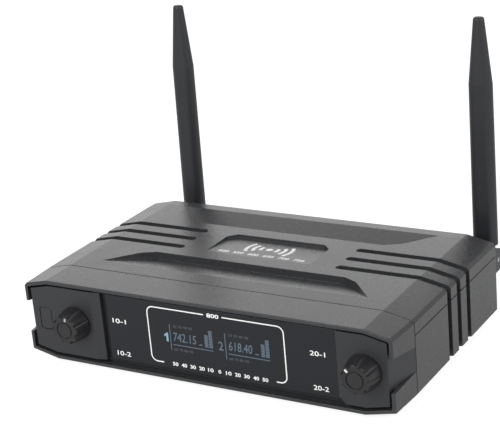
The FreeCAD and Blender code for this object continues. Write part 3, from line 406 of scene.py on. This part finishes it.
def board_material(base):
    """Solder mask over fibreglass, with copper tracks that show as raised paler lines."""
    material, tree, shader = blank_material("circuit_board")
    place = object_coordinates(tree)
    brick = tree.nodes.new("ShaderNodeTexBrick")
    brick.inputs["Scale"].default_value = 160.0
    brick.inputs["Mortar Size"].default_value = 0.06
    tree.links.new(place, brick.inputs["Vector"])
    tracks = brick.outputs["Fac"]
    tone = mixed(tree, tracks, rgba(base), rgba(base, 2.0))
    patch = ramp(tree, noise(tree, place, 60.0, 3.0), 0.3, 0.7)
    worn = maths(tree, "MULTIPLY", patch, 0.3)
    tree.links.new(mixed(tree, worn, tone, rgba(base, 0.6)), shader.inputs["Base Color"])
    bump = tree.nodes.new("ShaderNodeBump")
    bump.inputs["Distance"].default_value = 0.00004
    tree.links.new(tracks, bump.inputs["Height"])
    tree.links.new(bump.outputs["Normal"], shader.inputs["Normal"])
    tree.links.new(ramp(tree, patch, 0.0, 1.0, 0.28, 0.4), shader.inputs["Roughness"])
    return material


def dress(material, *names):
    """Put one material in every slot of the named CAD nodes."""
    for name in names:
        mesh_object = NODES[name]
        if not mesh_object.material_slots:
            mesh_object.data.materials.append(material)
        for slot in mesh_object.material_slots:
            slot.material = material


# ---------------------------------------------------------------- mesh helpers
def link(name, mesh):
    piece = bpy.data.objects.new(name, mesh)
    bpy.context.scene.collection.objects.link(piece)
    return piece


def finished(name, mesh, material, body):
    """A piece in its place, with its material and body."""
    mesh.materials.clear()
    mesh.materials.append(material)
    piece = link(name, mesh)
    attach(piece, body)
    return piece


def joined(name, meshes):
    """Several meshes as one."""
    work = bmesh.new()
    for mesh in meshes:
        work.from_mesh(mesh)
        bpy.data.meshes.remove(mesh)
    bmesh.ops.remove_doubles(work, verts=work.verts, dist=1e-7)
    bmesh.ops.recalc_face_normals(work, faces=work.faces)
    mesh = bpy.data.meshes.new(name)
    work.to_mesh(mesh)
    work.free()
    return mesh


def text_mesh(body, height, spacing=1.0, weight=0.0, shear=0.0, ink=0.00005, align="LEFT"):
    """Numerals as a thin closed plate in the XY plane, standing on its baseline."""
    curve = bpy.data.curves.new("numerals", "FONT")
    curve.body = body
    curve.size = height / 0.69
    curve.space_character = spacing
    curve.offset = weight
    curve.shear = shear
    curve.extrude = ink / 2
    curve.align_x = align
    curve.resolution_u = 3
    holder = link("numerals", curve)
    bpy.context.view_layer.update()
    mesh = bpy.data.meshes.new_from_object(holder.evaluated_get(bpy.context.evaluated_depsgraph_get()))
    bpy.data.objects.remove(holder)
    bpy.data.curves.remove(curve)
    return mesh


def plate_mesh(outline, ink):
    """A flat outline in the XY plane, given thickness ink about it."""
    work = bmesh.new()
    corners = [work.verts.new((x, y, -ink / 2)) for x, y in outline]
    face = work.faces.new(corners)
    grown = bmesh.ops.extrude_face_region(work, geom=[face])
    lifted = [e for e in grown["geom"] if isinstance(e, bmesh.types.BMVert)]
    bmesh.ops.translate(work, verts=lifted, vec=(0, 0, ink))
    bmesh.ops.recalc_face_normals(work, faces=work.faces)
    mesh = bpy.data.meshes.new("plate")
    work.to_mesh(mesh)
    work.free()
    return mesh


def bar_mesh(x0, x1, y0, y1, ink):
    return plate_mesh([(x0, y0), (x1, y0), (x1, y1), (x0, y1)], ink)


def strip_mesh(path, width, ink):
    """A line of one width along a path in the XY plane, built of quads and closed at its ends."""
    points = [Vector((x, y, 0.0)) for x, y in path]
    rows = []
    for i, point in enumerate(points):
        along = (points[min(i + 1, len(points) - 1)] - points[max(i - 1, 0)]).normalized()
        across = Vector((-along.y, along.x, 0.0)) * (width / 2)
        lift = Vector((0.0, 0.0, ink / 2))
        left, right = point + across, point - across
        rows.append((left + lift, right + lift, right - lift, left - lift))
    work = bmesh.new()
    loops = [[work.verts.new(corner) for corner in row] for row in rows]
    for here, after in zip(loops, loops[1:]):
        for k in range(4):
            work.faces.new((here[k], here[(k + 1) % 4], after[(k + 1) % 4], after[k]))
    work.faces.new(loops[0])
    work.faces.new(loops[-1][::-1])
    bmesh.ops.recalc_face_normals(work, faces=work.faces)
    mesh = bpy.data.meshes.new("strip")
    work.to_mesh(mesh)
    work.free()
    return mesh


def arc(centre, radius, start, end, steps=10):
    """Points along a circle's arc, from one angle to another in degrees."""
    angles = [math.radians(start + (end - start) * i / steps) for i in range(steps + 1)]
    return [(centre[0] + radius * math.cos(a), centre[1] + radius * math.sin(a)) for a in angles]


def numerals(body, x0, x1, y0, y1, ink, weight=0.0, shear=0.0):
    """Numerals stretched to fill a box in the XY plane."""
    mesh = text_mesh(body, y1 - y0, weight=weight, shear=shear, ink=ink)
    xs = [v.co.x for v in mesh.vertices]
    ys = [v.co.y for v in mesh.vertices]
    scale = ((x1 - x0) / (max(xs) - min(xs)), (y1 - y0) / (max(ys) - min(ys)))
    for v in mesh.vertices:
        v.co.x = x0 + (v.co.x - min(xs)) * scale[0]
        v.co.y = y0 + (v.co.y - min(ys)) * scale[1]
    return mesh


def level_bar_tree():
    """Geometry nodes: a column of equal segments, stacked upward from the origin."""
    tree = bpy.data.node_groups.new("level_bar", "GeometryNodeTree")
    sockets = (
        ("Steps", "NodeSocketInt", 8),
        ("Pitch", "NodeSocketFloat", 0.001),
        ("Width", "NodeSocketFloat", 0.002),
        ("Fill", "NodeSocketFloat", 0.72),
        ("Ink", "NodeSocketFloat", 0.00005),
        ("Material", "NodeSocketMaterial", None),
    )
    for label, kind, value in sockets:
        socket = tree.interface.new_socket(label, in_out="INPUT", socket_type=kind)
        if value is not None:
            socket.default_value = value
    tree.interface.new_socket("Geometry", in_out="OUTPUT", socket_type="NodeSocketGeometry")
    start = tree.nodes.new("NodeGroupInput")
    end = tree.nodes.new("NodeGroupOutput")
    offset = tree.nodes.new("ShaderNodeCombineXYZ")
    tree.links.new(start.outputs["Pitch"], offset.inputs["Y"])
    line = tree.nodes.new("GeometryNodeMeshLine")
    tree.links.new(start.outputs["Steps"], line.inputs["Count"])
    tree.links.new(offset.outputs[0], line.inputs["Offset"])
    tall = tree.nodes.new("ShaderNodeMath")
    tall.operation = "MULTIPLY"
    tree.links.new(start.outputs["Pitch"], tall.inputs[0])
    tree.links.new(start.outputs["Fill"], tall.inputs[1])
    size = tree.nodes.new("ShaderNodeCombineXYZ")
    tree.links.new(start.outputs["Width"], size.inputs["X"])
    tree.links.new(tall.outputs[0], size.inputs["Y"])
    tree.links.new(start.outputs["Ink"], size.inputs["Z"])
    segment = tree.nodes.new("GeometryNodeMeshCube")
    tree.links.new(size.outputs[0], segment.inputs["Size"])
    spread = tree.nodes.new("GeometryNodeInstanceOnPoints")
    tree.links.new(line.outputs["Mesh"], spread.inputs["Points"])
    tree.links.new(segment.outputs["Mesh"], spread.inputs["Instance"])
    real = tree.nodes.new("GeometryNodeRealizeInstances")
    tree.links.new(spread.outputs[0], real.inputs[0])
    paint = tree.nodes.new("GeometryNodeSetMaterial")
    tree.links.new(real.outputs[0], paint.inputs["Geometry"])
    tree.links.new(start.outputs["Material"], paint.inputs["Material"])
    tree.links.new(paint.outputs[0], end.inputs["Geometry"])
    return tree


def level_bar(tree, values):
    """One column of segments as a plain mesh."""
    holder = link("level_bar", bpy.data.meshes.new("level_bar"))
    modifier = holder.modifiers.new("level_bar", "NODES")
    modifier.node_group = tree
    for item in tree.interface.items_tree:
        if item.in_out == "INPUT" and item.name in values:
            modifier[item.identifier] = values[item.name]
    bpy.context.view_layer.update()
    mesh = bpy.data.meshes.new_from_object(holder.evaluated_get(bpy.context.evaluated_depsgraph_get()))
    bpy.data.objects.remove(holder)
    return mesh


def on_window(mesh):
    """Stand a flat mesh on the window's face: its x from the case's middle, its y above the underside."""
    turn = Matrix.Rotation(math.pi / 2, 4, "X")
    mesh.transform(Matrix.Translation((0.0, WINDOW_FACE - 0.00003, UNDERSIDE)) @ turn)
    return mesh


def moved(mesh, x, y):
    mesh.transform(Matrix.Translation((x, y, 0.0)))
    return mesh


def laid_on(mesh, node, lift):
    """Drop a flat mesh's points onto a CAD node from above, keeping the mesh's own thickness."""
    solid = NODES[node]
    place = solid.matrix_world
    corners = [place @ v.co for v in solid.data.vertices]
    surface = BVHTree.FromPolygons(corners, [list(p.vertices) for p in solid.data.polygons])
    for v in mesh.vertices:
        hit = surface.ray_cast(Vector((v.co.x, v.co.y, 0.3)), Vector((0.0, 0.0, -1.0)))[0]
        if hit is None:
            raise RuntimeError("a printed mark has nothing under it")
        v.co.z += hit.z + lift
    return mesh


def joint_place(name):
    """Where the record puts a joint."""
    joints = frame["record"]["behaviour"]["joints"]
    return Vector(next(j["pos_m"] for j in joints if j["name"] == name))


# ---------------------------------------------------------------- operators
class RECEIVER_OT_case(bpy.types.Operator):
    """Finish the case: cover, shell, bezel, rear panel, feet and screws"""

    bl_idname = "receiver.case"
    bl_label = "Finish the case"

    def execute(self, context):
        finish = context.scene.receiver_finish
        case = moulded_plastic(
            "case_plastic",
            finish.case,
            finish.case_roughness,
            2300.0,
            finish.grain_depth,
            finish.corner_round,
            dust=0.02,
            mottle=0.12,
            speck=2.2,
        )
        dress(case, "top_cover", "bottom_shell", "front_bezel")
        panel = moulded_plastic("panel_plastic", finish.panel, 0.48, 1800.0, 0.00004, 0.0003)
        dress(panel, "rear_panel")
        rubber = moulded_plastic("foot_rubber", (0.018, 0.018, 0.018), 0.8, 1200.0, 0.00006, dust=0.3)
        dress(rubber, "rubber_feet")
        zinc = plated_metal("plain_steel", (0.55, 0.55, 0.54), 0.32, 900.0)
        dress(zinc, "case_screws", "board_screws", "fascia_screws", "front_board_screws")
        dress(zinc, *[part + side for part in ("pot_shaft_", "hinge_pin_") for side in SIDES])
        return {"FINISHED"}


class RECEIVER_OT_front(bpy.types.Operator):
    """Finish the front: pods, window, power key, display and indicators"""

    bl_idname = "receiver.front"
    bl_label = "Finish the front"

    def execute(self, context):
        finish = context.scene.receiver_finish
        pods = moulded_plastic("fascia_plastic", finish.fascia, 0.46, 2600.0, 0.000022, 0.0003, mottle=0.4)
        dress(pods, "front_fascia")
        key = moulded_plastic("button_plastic", finish.fascia, 0.42, 2600.0, 0.000018, 0.0003, mottle=0.3)
        dress(key, "power_button")
        dress(window_material(finish.window), "display_window")
        glass = window_material((0.02, 0.03, 0.04))
        glass.name = "display_glass"
        dress(glass, "display_module")
        led = moulded_plastic("led_plastic", (0.4, 0.04, 0.03), 0.15, 500.0, 0.000005, coat=0.5)
        dress(led, "indicator_leds")
        switch = moulded_plastic("switch_plastic", (0.025, 0.025, 0.027), 0.5, 1500.0, 0.00002)
        dress(switch, "switch_plunger", "power_switch", "power_inlet")
        return {"FINISHED"}


class RECEIVER_OT_display(bpy.types.Operator):
    """Print the display's outline, scale and readings on the window"""

    bl_idname = "receiver.display"
    bl_label = "Print the display"

    def execute(self, context):
        finish = context.scene.receiver_finish
        marks = context.scene.receiver_print
        # The white window print glows at 0.3: a painted glow on screen-print ink.
        white = ink_material("window_print", finish.print_white, 0.3)
        segments = ink_material("display_segments", finish.screen, 0.3)
        # The unlit small numbers glow at 0.2: a painted glow.
        faint = ink_material("display_small_print", finish.screen_dim, 0.2)
        bright = ink_material("channel_number", finish.screen_bright, 0.3)
        finished("window_print", joined("window_print", window_print(marks)), white, "case")
        bars = level_bar_tree()
        readings = [(marks.first_channel, "742.15"), (marks.second_channel, "618.40")]
        for number, (left, reading) in enumerate(readings, 1):
            name = "reading_" + str(number)
            mesh = joined(name, channel_reading(marks, left, reading, bars, segments))
            finished(name, mesh, segments, "case")
            name = "small_print_" + str(number)
            finished(name, joined(name, small_print(marks, left)), faint, "case")
        one = joined("channel_one", [on_window(figure_one(marks))])
        finished("channel_one", one, bright, "case")
        left = marks.second_channel
        two = numerals("2", left - 4.0 * MM, left - 1.3 * MM, 19.4 * MM, 24.0 * MM, marks.ink, 0.00004)
        finished("channel_two", joined("channel_two", [on_window(two)]), segments, "case")
        return {"FINISHED"}


class RECEIVER_OT_badge(bpy.types.Operator):
    """Print the radio-wave sign and the scale in the roof's middle recess"""

    bl_idname = "receiver.badge"
    bl_label = "Print the roof"

    def execute(self, context):
        finish = context.scene.receiver_finish
        marks = context.scene.receiver_print
        # The roof print glows at 0.1: a painted glow on screen-print ink.
        pale = ink_material("roof_print", finish.print_white, 0.1)
        finished("roof_print", joined("roof_print", roof_print(marks)), pale, "case")
        return {"FINISHED"}


class RECEIVER_OT_knobs(bpy.types.Operator):
    """Finish the volume knobs and print their index marks"""

    bl_idname = "receiver.knobs"
    bl_label = "Finish the knobs"

    def execute(self, context):
        finish = context.scene.receiver_finish
        knob = moulded_plastic("knob_plastic", finish.knob, 0.38, 2400.0, 0.00002, 0.0003, mottle=0.4)
        dress(knob, "volume_knob_left", "volume_knob_right")
        steel = plated_metal("control_housing", (0.5, 0.5, 0.47), 0.35, 700.0)
        dress(steel, "potentiometer_left", "potentiometer_right")
        nickel = plated_metal("nickel", (0.7, 0.67, 0.6), 0.22, 500.0)
        dress(nickel, "audio_socket_nut", "power_inlet_pin")
        dress(nickel, *[part + side for part in ("pot_nut_", "antenna_nut_") for side in SIDES])
        marks = context.scene.receiver_print
        # The left mark, grey at 0.6, stands where the knob's face shows a glint: partly an index mark, partly
        # a painted glint. The right mark is white.
        for side, angle, tone in (("left", 10.0, 0.6), ("right", -45.0, 1.0)):
            mark = ink_material("index_mark_" + side, [tone * v for v in finish.print_white])
            mesh = index_mark(marks, side, angle)
            finished("index_mark_" + side, mesh, mark, "volume_" + side)
        return {"FINISHED"}


class RECEIVER_OT_antennas(bpy.types.Operator):
    """Finish the antennas, their elbows and bases"""

    bl_idname = "receiver.antennas"
    bl_label = "Finish the antennas"

    def execute(self, context):
        finish = context.scene.receiver_finish
        soft = moulded_plastic("antenna_plastic", finish.antenna, 0.4, 2000.0, 0.000015, 0.0004, mottle=0.4)
        for part in ("antenna_blade_", "antenna_elbow_", "antenna_base_"):
            dress(soft, *[part + side for side in SIDES])
        return {"FINISHED"}


class RECEIVER_OT_inside(bpy.types.Operator):
    """Finish the boards and what stands on them"""

    bl_idname = "receiver.inside"
    bl_label = "Finish the inside"

    def execute(self, context):
        finish = context.scene.receiver_finish
        dress(board_material(finish.board), "main_board", "front_board")
        tin = plated_metal("tin_plate", (0.62, 0.62, 0.6), 0.3, 400.0)
        dress(tin, "receiver_shield_left", "receiver_shield_right")
        epoxy = moulded_plastic("chip_plastic", (0.015, 0.015, 0.016), 0.5, 3000.0, 0.00001)
        dress(epoxy, "audio_chips", "receiver_chip_left", "receiver_chip_right")
        sleeve = moulded_plastic("capacitor_sleeve", (0.02, 0.03, 0.08), 0.25, 900.0, 0.000008)
        dress(sleeve, "capacitors")
        dress(plated_metal("heat_sink", (0.55, 0.56, 0.57), 0.4, 800.0), "power_regulator")
        header = moulded_plastic("header_plastic", (0.7, 0.67, 0.56), 0.45, 1800.0, 0.00001)
        dress(header, "board_headers")
        ribbon = moulded_plastic("ribbon_jacket", (0.4, 0.4, 0.41), 0.45, 1100.0, 0.00002)
        dress(ribbon, "front_ribbon")
        jacket = moulded_plastic("cable_jacket", (0.02, 0.02, 0.02), 0.5, 1500.0, 0.00002)
        dress(jacket, "antenna_lead_left", "antenna_lead_right")
        socket = moulded_plastic("socket_plastic", (0.022, 0.022, 0.022), 0.45, 1600.0, 0.00002)
        dress(socket, "audio_socket")
        return {"FINISHED"}


class RECEIVER_OT_stage(bpy.types.Operator):
    """Set the floor, the lights and the camera"""

    bl_idname = "receiver.stage"
    bl_label = "Set the stage"

    def execute(self, context):
        stage = context.scene.receiver_stage
        make_floor(stage.floor)
        make_world(context.scene)
        make_lights()
        make_camera(context.scene, stage)
        return {"FINISHED"}


# ---------------------------------------------------------------- print
def window_print(marks):
    """The rounded outline with its two gaps, the numbers in the gaps and the four small side marks."""
    left, right, low, high = marks.outline_left, marks.outline_right, marks.outline_low, marks.outline_high
    corner, line, ink = marks.outline_corner, marks.outline_line, marks.ink
    middle = 7.7 * MM
    top_gap = 5.2 * MM
    low_gap_left, low_gap_right = -23.5 * MM, 40.5 * MM
    title_width, title_height = 6.8 * MM, 2.2 * MM
    scale_start, scale_pitch = -16.7 * MM, 5.1 * MM
    digit_width, digit_height = 1.6 * MM, 2.0 * MM
    label_width, label_height = 8.1 * MM, 2.5 * MM
    first = [(middle - top_gap, high)]
    first += arc((left + corner, high - corner), corner, 90, 180)
    first += arc((left + corner, low + corner), corner, 180, 270)
    first.append((low_gap_left, low))
    second = [(middle + top_gap, high)]
    second += arc((right - corner, high - corner), corner, 90, 0)
    second += arc((right - corner, low + corner), corner, 0, -90)
    second.append((low_gap_right, low))
    plates = [strip_mesh(first, line, ink), strip_mesh(second, line, ink)]
    x, y = middle - title_width / 2, high - title_height / 2
    plates.append(numerals("800", x, x + title_width, y, y + title_height, ink, 0.00008))
    for i in range(11):
        x = scale_start + scale_pitch * i
        value = str(10 * abs(i - 5))
        half = digit_width / 2 * len(value)
        figure = (x - half, x + half, low - digit_height / 2, low + digit_height / 2)
        plates.append(numerals(value, *figure, ink, 0.00007))
    places = (("10-1", -52.2, 24.8), ("10-2", -51.5, 7.0), ("20-1", 59.7, 24.8), ("20-2", 60.4, 7.0))
    for value, x, y in places:
        left, low = x * MM, y * MM
        plates.append(numerals(value, left, left + label_width, low, low + label_height, ink, 0.00004))
    return [on_window(plate) for plate in plates]


def figure_one(marks):
    """The lit channel's number: a heavy 1 with its flag."""
    right = marks.first_channel - 1.3 * MM
    low = 19.4 * MM
    shape = ((0, 0), (0, 4.7), (-0.75, 4.7), (-2.3, 3.5), (-2.3, 2.5), (-1.15, 3.2), (-1.15, 0))
    return plate_mesh([(right + x * MM, low + y * MM) for x, y in shape], marks.ink)


def small_print(marks, left):
    """The dim small numbers above and below one channel's reading."""
    ink = marks.ink
    plates = [
        numerals("20 30 40 50", left + 1.9 * MM, left + 13.2 * MM, 27.6 * MM, 28.9 * MM, ink),
        numerals("60 70 80 90", left + 1.6 * MM, left + 12.4 * MM, 15.0 * MM, 16.3 * MM, ink),
    ]
    return [on_window(plate) for plate in plates]


def channel_reading(marks, left, reading, bars, paint):
    """One channel's upright line, reading, underline and pair of level bars."""
    ink = marks.ink
    low = 20.1 * MM
    high = low + marks.digit_height
    line = 0.2 * MM
    plates = [
        bar_mesh(left - line, left + line, 15.0 * MM, 28.8 * MM, ink),
        bar_mesh(left + 1.3 * MM, left + 24.4 * MM, 18.15 * MM - line, 18.15 * MM + line, ink),
        bar_mesh(left + 16.4 * MM, left + 18.3 * MM, low, low + 0.5 * MM, ink),
        numerals(reading, left + 1.8 * MM, left + 14.9 * MM, low, high, ink, 0.00002, 0.1),
    ]
    for i, steps in enumerate((marks.bar_steps - 3, marks.bar_steps)):
        values = {"Steps": steps, "Pitch": marks.bar_pitch, "Width": marks.bar_width, "Ink": ink}
        values["Material"] = paint
        column = level_bar(bars, values)
        plates.append(moved(column, left + (20.8 + 2.5 * i) * MM, 19.9 * MM))
    return [on_window(plate) for plate in plates]


def roof_print(marks):
    """A sender's dot with waves to both sides, over a plain scale of numbers, laid on the recess's floor."""
    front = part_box("front_bezel")[0].y
    ink = marks.ink
    centre = (0.0, front + 74.5 * MM)
    dot_radius, wave_width, wave_spread = 1.9 * MM, 1.9 * MM, 30
    number_width, number_height = 6.2 * MM, 3.0 * MM
    scale_start, scale_pitch, scale_back = -21.8 * MM, 8.9 * MM, front + 63.0 * MM
    plates = [plate_mesh(arc(centre, dot_radius, 0, 345, 23), ink)]
    for radius in (4.8 * MM, 8.7 * MM, 12.6 * MM):
        for facing in (0, 180):
            wave = arc(centre, radius, facing - wave_spread, facing + wave_spread, 16)
            plates.append(strip_mesh(wave, wave_width, ink))
    for i in range(6):
        x = scale_start + scale_pitch * i - number_width / 2
        figure = (x, x + number_width, scale_back, scale_back + number_height)
        plates.append(numerals(str(500 + 50 * i), *figure, ink, 0.00014))
    return [laid_on(plate, "top_cover", 0.00003) for plate in plates]


def index_mark(marks, side, angle):
    """A short bar on the knob's face, at an angle clockwise from its top."""
    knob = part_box("volume_knob_" + side)
    centre = joint_place("volume_" + side + "_turn")
    outer = 6.8 * MM
    plate = bar_mesh(-marks.mark_width / 2, marks.mark_width / 2, outer - marks.mark_length, outer, marks.ink)
    upright = Matrix.Rotation(math.pi / 2, 4, "X")
    lean = Matrix.Rotation(math.radians(angle), 4, "Y")
    place = Matrix.Translation((centre.x, knob[0].y + marks.ink * 0.4, centre.z))
    plate.transform(place @ lean @ upright)
    return joined("index_mark_" + side, [plate])


# ---------------------------------------------------------------- stage
def make_floor(tone):
    """A wide pale floor that renders white where nothing shades it."""
    work = bmesh.new()
    bmesh.ops.create_grid(work, x_segments=1, y_segments=1, size=6.0)
    mesh = bpy.data.meshes.new("floor")
    work.to_mesh(mesh)
    work.free()
    floor = link("floor", mesh)
    material, tree, shader = blank_material("floor")
    shader.inputs["Base Color"].default_value = rgba(tone)
    shader.inputs["Roughness"].default_value = 0.9
    shader.inputs["Specular IOR Level"].default_value = 0.1
    rays = tree.nodes.new("ShaderNodeLightPath")
    seen = maths(tree, "MULTIPLY", rays.outputs["Is Camera Ray"], 0.84)
    mirrored = maths(tree, "MULTIPLY", rays.outputs["Is Glossy Ray"], 0.36)
    glow = tree.nodes.new("ShaderNodeEmission")
    shown = maths(tree, "MAXIMUM", seen, mirrored)
    tree.links.new(maths(tree, "MAXIMUM", shown, 0.4), glow.inputs["Strength"])
    total = tree.nodes.new("ShaderNodeAddShader")
    tree.links.new(shader.outputs[0], total.inputs[0])
    tree.links.new(glow.outputs[0], total.inputs[1])
    tree.links.new(total.outputs[0], tree.nodes["Material Output"].inputs["Surface"])
    mesh.materials.append(material)


def make_world(scene):
    """A white surround that is seen and reflected at full strength and lights the object more softly."""
    world = bpy.data.worlds.new("studio")
    world.use_nodes = True
    tree = world.node_tree
    back = tree.nodes["Background"]
    back.inputs["Color"].default_value = (1.0, 1.0, 1.0, 1.0)
    rays = tree.nodes.new("ShaderNodeLightPath")
    seen = maths(tree, "MAXIMUM", rays.outputs["Is Camera Ray"], rays.outputs["Is Transmission Ray"])
    glossy = maths(tree, "MULTIPLY", rays.outputs["Is Glossy Ray"], 0.62)
    level = maths(tree, "MAXIMUM", maths(tree, "MAXIMUM", seen, glossy), 0.38)
    tree.links.new(level, back.inputs["Strength"])
    scene.world = world


def make_lamp(name, place, target, size, power):
    lamp = bpy.data.lights.new(name, "AREA")
    lamp.shape = "RECTANGLE"
    lamp.size, lamp.size_y = size
    lamp.energy = power
    holder = bpy.data.objects.new(name, lamp)
    bpy.context.scene.collection.objects.link(holder)
    holder.location = place
    holder.rotation_euler = (Vector(target) - Vector(place)).to_track_quat("-Z", "Y").to_euler()


def make_lights():
    """A wide low panel behind on the left that the roof mirrors, and two weaker boxes."""
    centre = (0.0, 0.0, 0.02)
    make_lamp("back_panel", (-1.0, 1.45, 0.62), centre, (1.9, 1.1), 6.4)
    make_lamp("front_box", (-0.35, -1.1, 0.7), centre, (0.9, 0.6), 8.0)
    make_lamp("right_box", (1.2, -0.1, 0.7), centre, (0.6, 0.6), 6.4)


def make_camera(scene, stage):
    """The camera, from its place, yaw, pitch and roll."""
    yaw, pitch, roll = stage.yaw, stage.pitch, stage.roll
    ahead = Vector((-math.sin(yaw) * math.cos(pitch), math.cos(yaw) * math.cos(pitch), math.sin(pitch)))
    right = Vector((math.cos(yaw), math.sin(yaw), 0.0))
    up = right.cross(ahead)
    across = math.cos(roll) * right + math.sin(roll) * up
    rise = -math.sin(roll) * right + math.cos(roll) * up
    camera = bpy.data.cameras.new("camera")
    camera.sensor_fit = "HORIZONTAL"
    camera.sensor_width = 36.0
    camera.lens = stage.lens
    camera.clip_start = 0.02
    holder = bpy.data.objects.new("camera", camera)
    turn = Matrix((across, rise, -ahead)).transposed().to_4x4()
    holder.matrix_world = Matrix.Translation(stage.camera_place) @ turn
    scene.collection.objects.link(holder)
    scene.camera = holder
    scene.view_settings.view_transform = "Standard"


# ---------------------------------------------------------------- registration
class RECEIVER_PT_sidebar(bpy.types.Panel):
    """Lists the steps that dress the receiver"""

    bl_idname = "RECEIVER_PT_sidebar"
    bl_label = "Wireless receiver"
    bl_space_type = "VIEW_3D"
    bl_region_type = "UI"
    bl_category = "Receiver"

    def draw(self, context):
        for operator in OPERATORS:
            self.layout.operator(operator.bl_idname)
        for name in ("receiver_finish", "receiver_print", "receiver_stage"):
            group = getattr(context.scene, name)
            box = self.layout.box()
            for key in group.bl_rna.properties.keys():
                if key not in ("rna_type", "name"):
                    box.prop(group, key)


SETTINGS = (ReceiverFinish, ReceiverPrint, ReceiverStage)
OPERATORS = (
    RECEIVER_OT_case,
    RECEIVER_OT_front,
    RECEIVER_OT_display,
    RECEIVER_OT_badge,
    RECEIVER_OT_knobs,
    RECEIVER_OT_antennas,
    RECEIVER_OT_inside,
    RECEIVER_OT_stage,
)


def register():
    for entry in SETTINGS + OPERATORS + (RECEIVER_PT_sidebar,):
        bpy.utils.register_class(entry)
    bpy.types.Scene.receiver_finish = PointerProperty(type=ReceiverFinish)
    bpy.types.Scene.receiver_print = PointerProperty(type=ReceiverPrint)
    bpy.types.Scene.receiver_stage = PointerProperty(type=ReceiverStage)


def unregister():
    for name in ("receiver_finish", "receiver_print", "receiver_stage"):
        delattr(bpy.types.Scene, name)
    for entry in reversed(SETTINGS + OPERATORS + (RECEIVER_PT_sidebar,)):
        bpy.utils.unregister_class(entry)


def main():
    register()
    for operator in OPERATORS:
        family, step = operator.bl_idname.split(".")
        getattr(getattr(bpy.ops, family), step)()


if __name__ == "__main__":
    main()
